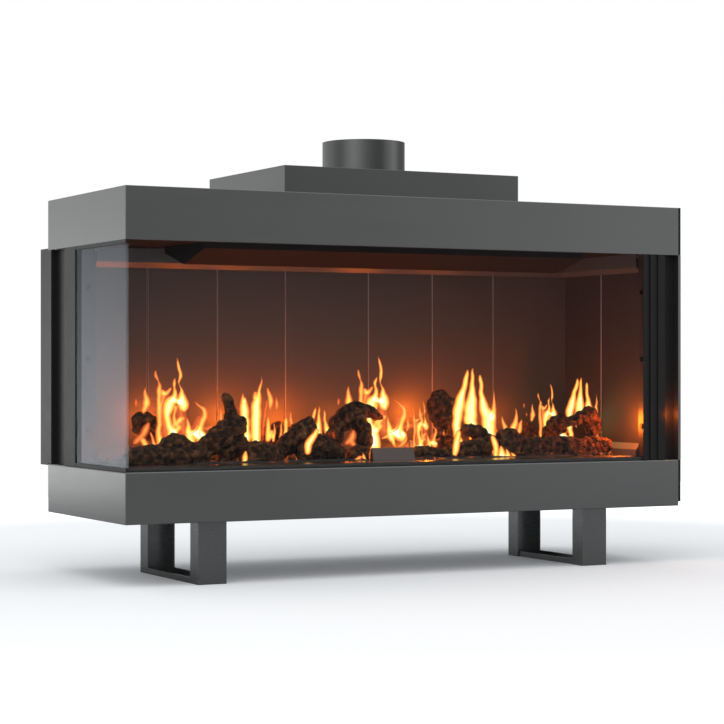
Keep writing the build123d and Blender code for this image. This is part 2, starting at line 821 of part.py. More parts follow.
def gas_valve():
    """Valve block with its feet, two round covers, the bosses and the knob's spindle."""
    body = block(valve_left, valve_right, valve_front, valve_back, valve_bottom, valve_top)
    body = chamfer(body.edges().filter_by(Axis.Z), 4)
    inset = valve_foot
    for x in (valve_left + inset, valve_right - 2 * inset):
        body += block(x, x + inset, valve_front + inset, valve_back - inset, base_top, valve_bottom)
    top = valve_top + valve_cover_height
    for x in (valve_left + valve_width / 4, valve_right - valve_width / 4):
        body += fluted((x, outlet_y, valve_top), (x, outlet_y, top), valve_cover)
    outlet, inlet = (valve_right, outlet_y, outlet_z), (inlet_x, valve_back, outlet_z)
    body += fluted(outlet, (valve_right + boss_length, outlet_y, outlet_z), port_boss)
    body += fluted(inlet, (inlet_x, valve_back + boss_length, outlet_z), port_boss)
    body += fluted((knob_x, valve_front, knob_z), (knob_x, valve_front - 2, knob_z), knob_radius + 3)
    body += rod((knob_x, valve_front, knob_z), (knob_x, valve_front - spindle_length, knob_z), spindle_radius)
    return body


def valve_knob():
    """Fluted knob with a grip bar across its face and a blind bore for the spindle."""
    back = valve_front - 2 - gap
    front = back - knob_length
    knob = fluted((knob_x, back, knob_z), (knob_x, front, knob_z), knob_radius)
    knob = chamfer(knob.faces().sort_by(Axis.Y)[0].edges(), 1.5)
    grip = knob_radius - 1
    knob += block(knob_x - 3, knob_x + 3, front - 5, front, knob_z - grip, knob_z + grip)
    bore_end = valve_front - spindle_length - gap
    return knob - rod((knob_x, back + 1, knob_z), (knob_x, bore_end, knob_z), spindle_radius + running_gap)


def pipe(points, bend, radius):
    """Pipe along straight runs joined by bends."""
    path = FilletPolyline(*points, radius=bend)
    start = Vector(*points[0])
    section = Plane(start, z_dir=Vector(*points[1]) - start) * RegularPolygon(radius, 8)
    return sweep(section, path)


outlet_end = valve_right + boss_length
bend_x = (outlet_end + injector_start) / 2
main_pipe = pipe([(outlet_end, outlet_y, outlet_z), (bend_x, outlet_y, outlet_z),
                  (bend_x, injector_y, injector_z), (injector_start, injector_y, injector_z)],
                 main_bend, main_pipe_radius)
inlet_top = base_top + inlet_nut_height
inlet_pipe = pipe([(inlet_x, inlet_y, inlet_top), (inlet_x, inlet_y, outlet_z),
                   (inlet_x, valve_back + boss_length, outlet_z)], inlet_bend, main_pipe_radius + 1)
pilot_run_z = valve_top - 3 * pilot_pipe_radius
pilot_start_x = valve_right - 2 * valve_foot
pilot_route = [(pilot_start_x, valve_back, pilot_run_z), (pilot_start_x, pilot_y, pilot_run_z),
               (pilot_x, pilot_y, pilot_run_z), (pilot_x, pilot_y, tray_floor)]
pilot_pipe = pipe(pilot_route, pilot_bend, pilot_pipe_radius)
save("gas_valve", gas_valve())
save("valve_knob", valve_knob())
save("gas_pipes", main_pipe, inlet_pipe, pilot_pipe)

nut = extrude(Plane((inlet_x, inlet_y, base_top)) * RegularPolygon(inlet_nut, 6), inlet_nut_height)
nipple = rod((inlet_x, inlet_y, base_top - inlet_length), (inlet_x, inlet_y, base_top), inlet_radius)
save("gas_inlet", nut + nipple)

receiver_right, receiver_back = receiver_left + receiver_width, receiver_front + receiver_depth
receiver_top = base_top + receiver_height
receiver = block(receiver_left, receiver_right, receiver_front, receiver_back, base_top, receiver_top)
receiver = fillet(receiver.edges().filter_by(Axis.Z), 5)
save("control_receiver", chamfer(receiver.edges().group_by(Axis.Z)[-1], 1.5))

pilot_base = tray_floor + sheet
pilot_top = pilot_base + pilot_hood_height
reach = 1.5 * pilot_spread
bracket = block(pilot_x - reach, pilot_x + reach, pilot_y - pilot_hood, pilot_y + pilot_hood,
                tray_floor, pilot_base)
hood = tube_up(pilot_x, pilot_y, pilot_hood, thin_sheet, pilot_base, pilot_top)
window = pilot_hood / 2
hood -= block(pilot_x - window, pilot_x + window, pilot_y - reach, pilot_y,
              pilot_top - 4 * window, pilot_top - 2 * window)
electrode_x, thermocouple_x = pilot_x - pilot_spread, pilot_x + pilot_spread
insulator_top = pilot_base + pilot_hood_height * 0.7
electrode = fluted((electrode_x, pilot_y, pilot_base), (electrode_x, pilot_y, insulator_top), window, 8)
electrode += fluted((electrode_x, pilot_y, insulator_top), (electrode_x, pilot_y, pilot_top), window / 3, 6)
tip = (thermocouple_x, pilot_y, pilot_top)
thermocouple = fluted((thermocouple_x, pilot_y, pilot_base), tip, window * 0.8, 8)
save("pilot_burner", bracket - pilot_hole(tray_floor) + hood, electrode, thermocouple)


# Log set. Each log is a list of points with its radius there, measured from the tray's front left corner
# and from the top of the ember bed. The set follows the width and depth of the tray.
stretch_x = (tray_right - tray_left) / log_set_width
stretch_y = (tray_back - tray_front) / log_set_depth
log_scale = min(stretch_x, stretch_y)


def log(stations, phase):
    """Knotty log: flat facets round an uneven section along a bent line, cut flat on its bed."""
    points = [Vector(tray_left + x * stretch_x, tray_front + y * stretch_y, bed_top + z * log_scale)
              for x, y, z, _ in stations]
    along = (points[-1] - points[0]).normalized()
    level = Vector(-along.Y, along.X, 0) if abs(along.Z) < 0.95 else Vector(0, 1, 0)
    sides = 7
    angles = [2 * math.pi * k / sides for k in range(sides)]
    swell = [1 + 0.14 * math.sin(3 * a + phase) + 0.08 * math.cos(2 * a + 2 * phase) for a in angles]
    rings = []
    for point, (_, _, _, radius) in zip(points, stations):
        plane = Plane(point, x_dir=level.cross(along), z_dir=along)
        spread = [(a, radius * log_scale * w) for a, w in zip(angles, swell)]
        rings.append([plane.from_local_coords((r * math.cos(a), r * math.sin(a), 0)) for a, r in spread])
    faces = [Face(Wire.make_polygon(ring)) for ring in (rings[0], rings[-1])]
    for ring, following in zip(rings, rings[1:]):
        for k in range(sides):
            n = (k + 1) % sides
            faces.append(Face(Wire.make_polygon([ring[k], ring[n], following[n], following[k]])))
    body = Solid(Shell(faces))
    reach = 60
    below = block(tray_left - reach, tray_right + reach, tray_front - reach, tray_back + reach,
                  bed_top - 2 * reach, bed_top)
    return body - below


logs = {
    "log_front_left": [
        [[(17, 45, 11, 11), (40, 48, 9, 15), (85, 47, 10, 17), (130, 44, 11, 15), (163, 47, 12, 10)],
         [(86, 55, 24, 12), (109, 56, 31, 16), (130, 56, 26, 15), (145, 54, 17, 10)]]],
    "log_rear_left": [
        [[(160, 152, -3, 12), (138, 150, 20, 13), (121, 150, 39, 14), (107, 150, 56, 16), (90, 150, 68, 18),
          (76, 150, 73, 9)]]],
    "log_diagonal_left": [
        [[(155, 92, 4, 11), (177, 91, 18, 16), (198, 90, 33, 17), (219, 90, 52, 18), (239, 90, 64, 16),
          (254, 90, 69, 7)],
         [(224, 90, 58, 9), (228, 90, 84, 9), (226, 90, 97, 7), (224, 90, 110, 5)],
         [(214, 92, 13, 16), (240, 92, 24, 15), (249, 92, 34, 9)]]],
    "logs_middle": [
        [[(243, 48, 11, 14), (259, 48, 17, 17), (282, 49, 12, 15), (304, 50, 6, 10)]],
        [[(293, 76, 0, 10), (317, 75, 14, 13), (340, 75, 32, 14), (362, 75, 51, 14), (381, 75, 64, 10)],
         [(348, 62, 12, 14), (378, 60, 22, 18), (407, 60, 20, 18), (427, 60, 11, 13)]],
        [[(344, 208, -4, 15), (357, 208, 34, 13), (374, 208, 51, 12), (400, 208, 48, 8)]]],
    "log_arch": [
        [[(418, 114, -4, 14), (427, 113, 24, 15), (440, 112, 44, 15), (455, 112, 63, 15), (478, 112, 79, 15),
          (503, 112, 84, 13), (523, 112, 79, 8), (536, 112, 73, 4)],
         [(488, 108, 72, 13), (495, 106, 48, 17), (495, 104, 25, 16), (482, 104, -3, 14)]],
        [[(447, 60, 5, 11), (466, 60, 8, 13), (487, 60, 3, 9)]]],
    "logs_right_of_plate": [
        [[(579, 62, 5, 9), (611, 62, 4, 11), (649, 62, 4, 12), (685, 62, 8, 13), (716, 62, 16, 14),
          (741, 62, 27, 8)]],
        [[(682, 152, -4, 13), (697, 152, 20, 20), (694, 152, 48, 19), (687, 152, 74, 25), (683, 152, 96, 24),
          (679, 152, 113, 11)]],
        [[(712, 98, 4, 12), (736, 97, 22, 15), (758, 96, 33, 7)],
         [(696, 96, 46, 6), (714, 96, 48, 11), (732, 96, 41, 13), (746, 96, 29, 9)]]],
    "logs_right": [
        [[(757, 60, 26, 17), (777, 60, 23, 22), (812, 61, 11, 18), (856, 61, 10, 18), (900, 60, 12, 17),
          (944, 60, 13, 16), (978, 60, 15, 13), (992, 60, 18, 8)]],
        [[(982, 102, -4, 12), (984, 101, 20, 12), (990, 100, 43, 13), (984, 100, 66, 15), (964, 100, 74, 17),
          (946, 100, 63, 14), (928, 100, 53, 8)]],
        [[(922, 166, -4, 13), (930, 165, 26, 13), (941, 165, 45, 15), (960, 165, 58, 15), (975, 165, 67, 9)]],
        [[(882, 200, -4, 13), (891, 200, 32, 12), (906, 200, 44, 13), (927, 200, 33, 9)]]],
}


def casting(branches, phase):
    """One casting of the set: its branches grown together."""
    body = log(branches[0], phase)
    for n, stations in enumerate(branches[1:], start=1):
        body += log(stations, phase + 0.9 * n)
    return body


for number, (name, castings) in enumerate(logs.items()):
    save(name, *[casting(branches, number * 1.7 + k) for k, branches in enumerate(castings)])


# Bare plate
def bare_plate():
    """Small leaning plate without any marking, standing on the tray in front of the logs."""
    side = [(plate_front, tray_floor), (plate_front + plate_foot, tray_floor),
            (plate_front + plate_lean + sheet, tray_floor + plate_height),
            (plate_front + plate_lean, tray_floor + plate_height)]
    return across_profile([Vector(*p) for p in side], plate_left, plate_left + plate_width)


save("bare_plate", bare_plate())


# Legs
def leg(start):
    """Folded leg frame: outer side with a window, two webs, inner flanges and an inset foot bar."""
    inner_start = start + leg_width - leg_sheet
    y0, y1 = leg_front, leg_back
    window = (y0 + leg_upright, y1 - leg_upright)
    frame = block(start, start + leg_sheet, y0, y1, 0, leg_top)
    frame -= block(start - 1, start + leg_sheet + 1, *window, leg_foot_height, leg_top + 1)
    frame += block(start, start + leg_width, y0, y0 + leg_sheet, 0, leg_top)
    frame += block(start, start + leg_width, y1 - leg_sheet, y1, 0, leg_top)
    frame += block(start, start + leg_width, y0, window[0], 0, leg_sheet)
    frame += block(start, start + leg_width, window[1], y1, 0, leg_sheet)
    bar_end = start + leg_width - foot_bar_inset
    frame += block(start, bar_end, *window, 0, leg_sheet)
    frame += block(bar_end - leg_sheet, bar_end, window[0] + foot_bar_gap, window[1] - foot_bar_gap,
                   0, leg_foot_height)
    frame += block(inner_start, start + leg_width, y0, window[0], 0, leg_top)
    frame += block(inner_start, start + leg_width, window[1], y1, 0, leg_top)
    return frame


save("leg_left", leg(left_leg_start))
save("leg_right", mirror(leg(0), Plane.YZ.offset(right_leg_end / 2)))


# Relief hatches
def hatch(x):
    """Flat hatch over the exhaust chamber with a barrel on its rear edge."""
    half = hatch_size / 2
    z0 = roof_top + gap
    back = hatch_centre_y + half
    lid = block(x - half, x + half, hatch_centre_y - half, back, z0, z0 + hatch_thickness)
    axis_y, axis_z = back + hinge_reach, roof_top + hinge_height
    x0, x1 = x - half + hinge_bracket + gap, x + half - hinge_bracket - gap
    lid += block(x0, x1, back - 6, axis_y, z0, z0 + hatch_thickness)
    lid += rod((x0, axis_y, axis_z), (x1, axis_y, axis_z), hinge_barrel_radius)
    return lid - rod((x0 - 1, axis_y, axis_z), (x1 + 1, axis_y, axis_z), hinge_pin_radius + running_gap)


def hatch_hinge(x):
    """Hinge pin held by two brackets that stand on the casing top."""
    half = hatch_size / 2
    axis_y, axis_z = hatch_centre_y + half + hinge_reach, roof_top + hinge_height
    hinge = rod((x - half, axis_y, axis_z), (x + half, axis_y, axis_z), hinge_pin_radius)
    wide, top = hinge_bracket / 2, axis_z + hinge_barrel_radius
    front, back = axis_y - hinge_barrel_radius + 1, axis_y + hinge_barrel_radius
    for middle in (x - half + wide, x + half - wide):
        hinge += block(middle - wide, middle + wide, front, back, roof_top, top)
    return hinge


save("relief_hatch_left", hatch(left_hatch_x))
save("relief_hatch_right", hatch(right_hatch_x))
save("hatch_hinges", hatch_hinge(left_hatch_x), hatch_hinge(right_hatch_x))
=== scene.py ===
import json
import math
import random

import bpy
from bpy.props import FloatProperty, FloatVectorProperty, IntProperty, PointerProperty
from mathutils import Euler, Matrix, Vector, noise


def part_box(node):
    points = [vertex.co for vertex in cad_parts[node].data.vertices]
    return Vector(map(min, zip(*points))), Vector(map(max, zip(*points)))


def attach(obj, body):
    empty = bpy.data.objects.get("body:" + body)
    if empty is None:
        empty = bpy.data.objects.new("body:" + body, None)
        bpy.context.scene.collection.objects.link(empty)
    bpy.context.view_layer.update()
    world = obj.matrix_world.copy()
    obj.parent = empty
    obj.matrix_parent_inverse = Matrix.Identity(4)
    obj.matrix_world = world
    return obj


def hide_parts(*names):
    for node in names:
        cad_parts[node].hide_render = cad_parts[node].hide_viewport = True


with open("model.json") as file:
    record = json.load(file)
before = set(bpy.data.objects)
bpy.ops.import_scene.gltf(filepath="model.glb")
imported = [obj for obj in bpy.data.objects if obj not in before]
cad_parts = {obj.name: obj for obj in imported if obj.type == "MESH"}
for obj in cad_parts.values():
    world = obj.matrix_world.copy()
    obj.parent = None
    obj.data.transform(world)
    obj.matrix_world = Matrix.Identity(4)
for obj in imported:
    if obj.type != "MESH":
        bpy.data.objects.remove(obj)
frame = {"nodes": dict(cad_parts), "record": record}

bl_info = {
    "name": "Corner gas fire",
    "version": (1, 0, 0),
    "blender": (4, 5, 0),
    "location": "View3D > Sidebar > Gas fire",
    "description": "Finishes a corner gas fire's metal, glass and lining, and adds its logs and flames",
    "category": "Object",
}

MM = 0.001
RECORD = frame["record"]
NODES = frame["nodes"]

# The part's own drawing starts at the front left corner of the casing, on the floor.
CASING_CORNER = Vector((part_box("lower_fascia")[0].x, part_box("lower_fascia")[0].y, 0))
BED_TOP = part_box("ember_bed")[1].z

# The photograph's width and height in pixels, and how far the camera is shifted up and to the right in it
PHOTO_SIDE = 724
RISE_PIXELS = 6.5
SLIDE_PIXELS = -0.5


def at(x, y, z=0.0):
    """Point in the frame for a place in mm right of, behind and above the casing's corner."""
    return CASING_CORNER + Vector((x, y, z)) * MM


# Finishes


def sum_node(operation, swapped=False):
    """Method that adds a Math node for a value and another value or number."""

    def method(self, other=0):
        first, second = (other, self) if swapped else (self, other)
        return self.tree.add("ShaderNodeMath", {"operation": operation}, {0: first, 1: second})

    return method


class Value:
    """A number or colour in a node tree. Sums on it add Math nodes."""

    def __init__(self, tree, socket):
        self.tree = tree
        self.socket = socket

    __add__ = sum_node("ADD")
    __radd__ = sum_node("ADD", swapped=True)
    __sub__ = sum_node("SUBTRACT")
    __rsub__ = sum_node("SUBTRACT", swapped=True)
    __mul__ = sum_node("MULTIPLY")
    __rmul__ = sum_node("MULTIPLY", swapped=True)
    __truediv__ = sum_node("DIVIDE")
    __pow__ = sum_node("POWER")
    size = sum_node("ABSOLUTE")
    largest = sum_node("MAXIMUM")
    smallest = sum_node("MINIMUM")


class Tree:
    """Node tree of a material or the world."""

    def __init__(self, owner):
        owner.use_nodes = True
        self.owner = owner
        self.nodes = owner.node_tree.nodes
        self.links = owner.node_tree.links

    def add(self, kind, settings=None, inputs=None, output=0):
        """Adds a node with its settings, then its inputs, and gives one of its outputs."""
        node = self.nodes.new(kind)
        for name, value in (settings or {}).items():
            if name == "stops":
                self.set_stops(node.color_ramp, value)
            else:
                setattr(node, name, value)
        for name, value in (inputs or {}).items():
            self.feed(node.inputs[name], value)
        return Value(self, node.outputs[output]) if node.outputs else None

    def set_stops(self, ramp, stops):
        while len(ramp.elements) < len(stops):
            ramp.elements.new(0.5)
        for element, (place, colour) in zip(ramp.elements, stops):
            element.position = place
            element.color = (*colour, 1) if len(colour) == 3 else colour

    def feed(self, socket, value):
        """Links a value to a socket or sets the socket to a plain number or colour."""
        if isinstance(value, Value):
            self.links.new(value.socket, socket)
        elif isinstance(value, tuple) and len(value) == 3 and socket.type == "RGBA":
            socket.default_value = (*value, 1)
        else:
            socket.default_value = value

    def place(self):
        """Place on the object, in metres in the part's frame."""
        return self.add("ShaderNodeTexCoord", output="Object")

    def facing(self):
        """Which way the surface faces, in the part's frame."""
        return self.add("ShaderNodeTexCoord", output="Normal")

    def axis(self, vector, name):
        return self.add("ShaderNodeSeparateXYZ", inputs={0: vector}, output=name)

    def stretched(self, scale):
        """Places scaled by a factor on each axis."""
        return self.add("ShaderNodeMapping", inputs={"Vector": self.place(), "Scale": scale})

    def noise(self, scale, detail=3.0, roughness=0.5, vector=None, output="Fac"):
        inputs = {"Vector": vector or self.place(), "Scale": scale, "Detail": detail, "Roughness": roughness}
        return self.add("ShaderNodeTexNoise", inputs=inputs, output=output)

    def cells(self, scale, output="Distance", vector=None):
        inputs = {"Vector": vector or self.place(), "Scale": scale}
        return self.add("ShaderNodeTexVoronoi", inputs=inputs, output=output)

    def fade(self, value, low, high, start=0.0, end=1.0):
        """Runs smoothly from start to end while the value runs from low to high."""
        inputs = {"Value": value, "From Min": low, "From Max": high, "To Min": start, "To Max": end}
        return self.add("ShaderNodeMapRange", {"interpolation_type": "SMOOTHSTEP"}, inputs)

    def ramp(self, value, stops):
        return self.add("ShaderNodeValToRGB", {"stops": stops}, {"Fac": value})

    def mix(self, share, first, second, blend="MIX"):
        """Colour between two colours. The node's colour sockets are its inputs 6 and 7 and its output 2."""
        settings = {"data_type": "RGBA", "blend_type": blend}
        return self.add("ShaderNodeMix", settings, {0: share, 6: first, 7: second}, 2)

    def tint(self, colour, factor):
        """Colour made lighter or darker by a factor."""
        grey = self.add("ShaderNodeCombineColor", inputs={0: factor, 1: factor, 2: factor})
        return self.mix(1.0, colour, grey, "MULTIPLY")


class Finish(Tree):
    """Material with one Principled shader."""

    def __init__(self, name, **plain):
        super().__init__(bpy.data.materials.new(name))
        self.shader = self.nodes["Principled BSDF"]
        for socket, value in plain.items():
            self.set(socket.replace("_", " ").title().replace("Ior", "IOR"), value)

    def set(self, socket, value):
        self.feed(self.shader.inputs[socket], value)

    def bump(self, height, strength, distance):
        inputs = {"Height": height, "Strength": strength, "Distance": distance}
        self.set("Normal", self.add("ShaderNodeBump", inputs=inputs))

    @property
    def material(self):
        return self.owner


def satin_metal(name, colour, roughness, metallic=0.92):
    """Satin sheet: even colour with fine metal grain, slight clouding and faint wipe marks."""
    finish = Finish(name, metallic=metallic)
    clouds = finish.noise(9.0, 4.0)
    grain = finish.noise(1600.0, 2.0)
    marks = finish.noise(7.0, 5.0, 0.62, finish.stretched((1.0, 1.0, 5.0)))
    finish.set("Base Color", finish.tint(tuple(colour), 0.9 + clouds * 0.08 + grain * 0.12))
    finish.set("Roughness", roughness - 0.05 + marks * 0.1 + grain * 0.04)
    finish.bump(grain + clouds * 6.0, 0.12, 0.00006)
    return finish.material


def powder_coat(name, colour, roughness):
    """Powder coat with a fine orange peel."""
    finish = Finish(name, specular_ior_level=0.2)
    peel = finish.noise(650.0, 2.0)
    dust = finish.noise(24.0, 6.0, 0.65)
    finish.set("Base Color", finish.tint(tuple(colour), 0.85 + dust * 0.3))
    finish.set("Roughness", roughness + dust * 0.12 - 0.06)
    finish.bump(peel, 0.3, 0.0002)
    return finish.material


def zinc_sheet(name, colour):
    """Zinc coated sheet with its spangle of crystals."""
    finish = Finish(name, metallic=1.0)
    crystals = finish.cells(110.0, "Color")
    shade = finish.axis(crystals, "X")
    haze = finish.noise(14.0, 5.0)
    finish.set("Base Color", finish.tint(tuple(colour), 0.78 + shade * 0.2 + haze * 0.16))
    finish.set("Roughness", 0.3 + shade * 0.14 + haze * 0.1)
    finish.bump(shade + haze, 0.1, 0.0001)
    return finish.material


# Scales that draw a noise out into the lines of a metal's last working
BRUSHED_ALONG_X = (0.04, 1.0, 1.0)
DRAWN_ALONG_Z = (1.0, 1.0, 0.3)
TURNED_ABOUT_Z = (1.0, 1.0, 0.2)
UNBRUSHED = (1.0, 1.0, 1.0)


def brushed_metal(name, colour, roughness, stretch):
    """Bright metal with brush lines along one axis."""
    finish = Finish(name, metallic=1.0)
    lines = finish.noise(900.0, 3.0, 0.6, finish.stretched(stretch))
    haze = finish.noise(20.0, 4.0)
    finish.set("Base Color", finish.tint(tuple(colour), 0.82 + lines * 0.22 + haze * 0.1))
    finish.set("Roughness", roughness + lines * 0.14 + haze * 0.05)
    finish.bump(lines, 0.15, 0.00008)
    return finish.material


def heat_paint(name, colour, roughness, sheen=0.5):
    """Matt heat resistant paint with fine speckle."""
    finish = Finish(name, specular_ior_level=sheen)
    speckle = finish.noise(1100.0, 3.0, 0.7)
    soot = finish.noise(11.0, 5.0, 0.6)
    finish.set("Base Color", finish.tint(tuple(colour), 0.62 + speckle * 0.5 + soot * 0.3))
    finish.set("Roughness", roughness + soot * 0.14 - 0.07)
    finish.bump(speckle, 0.25, 0.0002)
    return finish.material


def lining_board(name, colour, chamfer_highlight_colour):
    """Dark firebox panel: fine speckle, soot clouds, and paler chamfers along the joints, which are a painted
    highlight.
    """
    finish = Finish(name)
    speckle = finish.noise(900.0, 3.0, 0.75)
    soot = finish.noise(8.0, 5.0, 0.6)
    face = finish.facing()
    across = finish.axis(face, "X").size()
    along = finish.axis(face, "Y").size()
    # Painted highlight: faces slanted between the back and a side, the joints' chamfers, take the paler
    # colour.
    chamfer_highlight_mask = finish.fade(across.smallest(along), 0.3, 0.5)
    board = finish.tint(tuple(colour), 0.62 + speckle * 0.5 + soot * 0.26)
    finish.set("Base Color", finish.mix(chamfer_highlight_mask, board, tuple(chamfer_highlight_colour)))
    finish.set("Roughness", 0.42 + soot * 0.16 + speckle * 0.06)
    finish.bump(speckle, 0.2, 0.00025)
    return finish.material


# How much light glass mirrors when it is seen straight on
STRAIGHT_MIRROR = 0.04


def thin_glass(name, strength, edge_colour):
    """Clear pane. Each face mirrors by the angle it is seen at, and the polished edges are grey green."""
    finish = Finish(name, metallic=1.0, roughness=0.02)
    grazing = finish.add("ShaderNodeLayerWeight", inputs={"Blend": 0.5}, output="Facing")
    mirror = (STRAIGHT_MIRROR + (1 - STRAIGHT_MIRROR) * grazing ** 5.0) * strength
    side = finish.facing()
    flat = finish.axis(side, "X").size().largest(finish.axis(side, "Y").size())
    haze = finish.noise(5.0, 4.0)
    finish.set("Base Color", finish.mix(flat, tuple(edge_colour), (0.8, 0.9, 1.0)))
    finish.set("Alpha", (mirror * (0.94 + haze * 0.12)).smallest(1.0))
    return finish.material


def woven_rope(name, colour):
    """Glass fibre rope seal."""
    finish = Finish(name)
    strands = {"Vector": finish.place(), "Scale": 220.0}
    twist = finish.add("ShaderNodeTexWave", {"bands_direction": "DIAGONAL"}, strands)
    fibre = finish.noise(1500.0, 3.0)
    finish.set("Base Color", finish.tint(tuple(colour), 0.6 + twist * 0.35 + fibre * 0.2))
    finish.set("Roughness", 0.85 + fibre * 0.1)
    finish.bump(twist + fibre * 0.4, 0.6, 0.0006)
    return finish.material


def cast_metal(name, colour):
    """Die cast body with a slight skin."""
    finish = Finish(name, metallic=0.9)
    skin = finish.noise(260.0, 4.0, 0.6)
    finish.set("Base Color", finish.tint(tuple(colour), 0.8 + skin * 0.3))
    finish.set("Roughness", 0.42 + skin * 0.2)
    finish.bump(skin, 0.35, 0.0003)
    return finish.material


def moulded_plastic(name, colour):
    """Black knob plastic with a fine spark finish."""
    finish = Finish(name)
    spark = finish.noise(1400.0, 2.0)
    wear = finish.noise(60.0, 4.0)
    finish.set("Base Color", finish.tint(tuple(colour), 0.8 + wear * 0.4))
    finish.set("Roughness", 0.38 + spark * 0.2)
    finish.bump(spark, 0.3, 0.0001)
    return finish.material


def charred_wood(name, char, bark, ash):
    """Log casting: black char in the hollows, brown bark, tan and ashen ridges, with painted shade darkening
    the hollows and a painted highlight on the ridges.
    """
    finish = Finish(name, specular_ior_level=0.3)
    warp = finish.noise(26.0, 3.0, 0.55, output="Color")
    bent = finish.add("ShaderNodeVectorMath", {"operation": "MULTIPLY_ADD"},
                      {0: warp, 1: (0.012, 0.012, 0.012), 2: finish.place()})
    lumps = finish.noise(75.0, 5.0, 0.62, bent)
    crust = finish.cells(190.0, "Distance", bent)
    grain = finish.noise(520.0, 4.0, 0.7, bent)
    ridge = finish.add("ShaderNodeNewGeometry", output="Pointiness")
    high = finish.fade(ridge, 0.47, 0.57)
    height = lumps * 0.75 + grain * 0.2 - crust * 0.25 + high * 0.2
    tone = finish.ramp(height, [(0.24, tuple(char)), (0.5, tuple(bark)), (0.78, tuple(ash))])
    # Painted shade and highlight: the colour is darkened in the hollows and lightened on the ridges by how
    # sharply the surface bends.
    finish.set("Base Color", finish.tint(tone, 0.55 + high * 0.75))
    finish.set("Roughness", 0.72 + grain * 0.2)
    finish.bump(lumps * 1.2 + grain * 0.6 - crust * 0.8, 1.0, 0.005)
    return finish.material


def ember_bed_finish(name, dark, glow, strength):
    """Dark granules that glow in patches."""
    finish = Finish(name, emission_strength=strength)
    grains = finish.cells(260.0, "Color")
    shade = finish.axis(grains, "X")
    patches = finish.noise(22.0, 4.0, 0.6)
    heat = finish.fade(patches, 0.54, 0.7) * finish.fade(finish.noise(170.0, 2.0), 0.42, 0.62)
    finish.set("Base Color", finish.tint(tuple(dark), 0.5 + shade))
    finish.set("Emission Color", finish.mix(heat, (0.0, 0.0, 0.0), tuple(glow)))
    finish.set("Roughness", 0.7 + shade * 0.25)
    finish.bump(shade, 0.6, 0.002)
    return finish.material


# Where the flame's five colours lie between cold and fully hot
HEAT_STEPS = (0.03, 0.26, 0.46, 0.66, 0.93)


def flame_finish(name, rim, flank, amber, body, core, strength):
    """Flame on a sheet: deep orange at its thin rim, then amber and yellow, and nearly white at its core."""
    finish = Finish(name, roughness=1.0, specular_ior_level=0.0, emission_strength=strength)
    inside = finish.add("ShaderNodeAttribute", {"attribute_name": "inside"}, output="Fac")
    heat = finish.add("ShaderNodeAttribute", {"attribute_name": "warmth"}, output="Fac")
    lick = finish.noise(120.0, 3.0, 0.6, finish.stretched((1.0, 1.0, 0.4))) - 0.5
    warmth = heat * 0.82 + lick * 0.16
    colours = [(place, tuple(tone)) for place, tone in zip(HEAT_STEPS, (rim, flank, amber, body, core))]
    finish.set("Base Color", (0.0, 0.0, 0.0))
    finish.set("Emission Color", finish.ramp(warmth, colours))
    finish.set("Alpha", finish.fade(inside + lick, -0.4, 1.1) * finish.fade(heat, 0.0, 0.4, 0.4, 1.0))
    return finish.material


# Settings


def colour(name, description, default):
    return FloatVectorProperty(name=name, description=description, subtype="COLOR", size=3, min=0, max=1,
                               default=default)


def share(name, description, default, highest=1.0):
    return FloatProperty(name=name, description=description, subtype="FACTOR", min=0, max=highest,
                         default=default)


def length(name, description, default):
    return FloatProperty(name=name, description=description, subtype="DISTANCE", unit="LENGTH", min=0,
                         default=default)


def number(name, description, default):
    return FloatProperty(name=name, description=description, min=0, default=default)


class SheetMetalSettings(bpy.types.PropertyGroup):
    """Colours of the casing's sheet metal."""

    band: colour("Bands", "Satin metal of the bands, cheeks and flue box", (0.2, 0.204, 0.205))
    band_roughness: share("Band roughness", "How matt the bands are", 0.22)
    leg_roughness: share("Leg roughness", "How matt the legs are", 0.26)
    legs: colour("Legs", "Satin metal of the leg frames", (0.19, 0.197, 0.2))
    frames: colour("Frames", "Black of the glass posts and trims", (0.014, 0.014, 0.0145))
    cheek: colour("Rear cheek", "Dark coat of the cheek behind the left glass post", (0.018, 0.0177, 0.0175))
    flue: colour("Flue box", "Satin metal of the flat flue box", (0.155, 0.158, 0.159))
    spigot: colour("Spigot", "Satin metal of the flue spigot", (0.13, 0.133, 0.134))
    zinc: colour("Zinc", "Zinc coated sheet at the back, base and top", (0.56, 0.57, 0.58))
    steel: colour("Stainless", "Bright steel of tray, collars and pins", (0.5, 0.49, 0.47))


class ApronSettings(bpy.types.PropertyGroup):
    """Sizes of the polished plate before the ember bed."""

    reach: length("Reach", "How far the plate lies before the burner tray", 68 * MM)
    lap: length("Lap", "How far the plate lies over the tray's rim", 17 * MM)
    left: length("Left", "How far the plate reaches past the tray's left end", 19 * MM)
    right: length("Right", "How far the plate ends before the tray's right end", 2 * MM)
    narrowing: length("Narrowing", "How much sooner the plate's front edge ends at the right", 42 * MM)
    fold: length("Fold", "Depth of the fold at the front edge", 3 * MM)
    sheet: length("Sheet", "Thickness of the plate", 0.6 * MM)
    edge_round: length("Edge round", "Radius of the edges", 0.2 * MM)


class GlassSettings(bpy.types.PropertyGroup):
    """Look of the two panes."""

    mirror: share("Side mirror", "How strongly each face of the side pane mirrors the room", 0.5, 2.0)
    coated: share("Front mirror", "How strongly each face of the front pane mirrors the room", 0.16, 2.0)
    edge: colour("Edge", "Colour of the polished edges", (0.05, 0.07, 0.068))
    rope: colour("Rope seal", "Colour of the rope seals", (0.05, 0.048, 0.045))


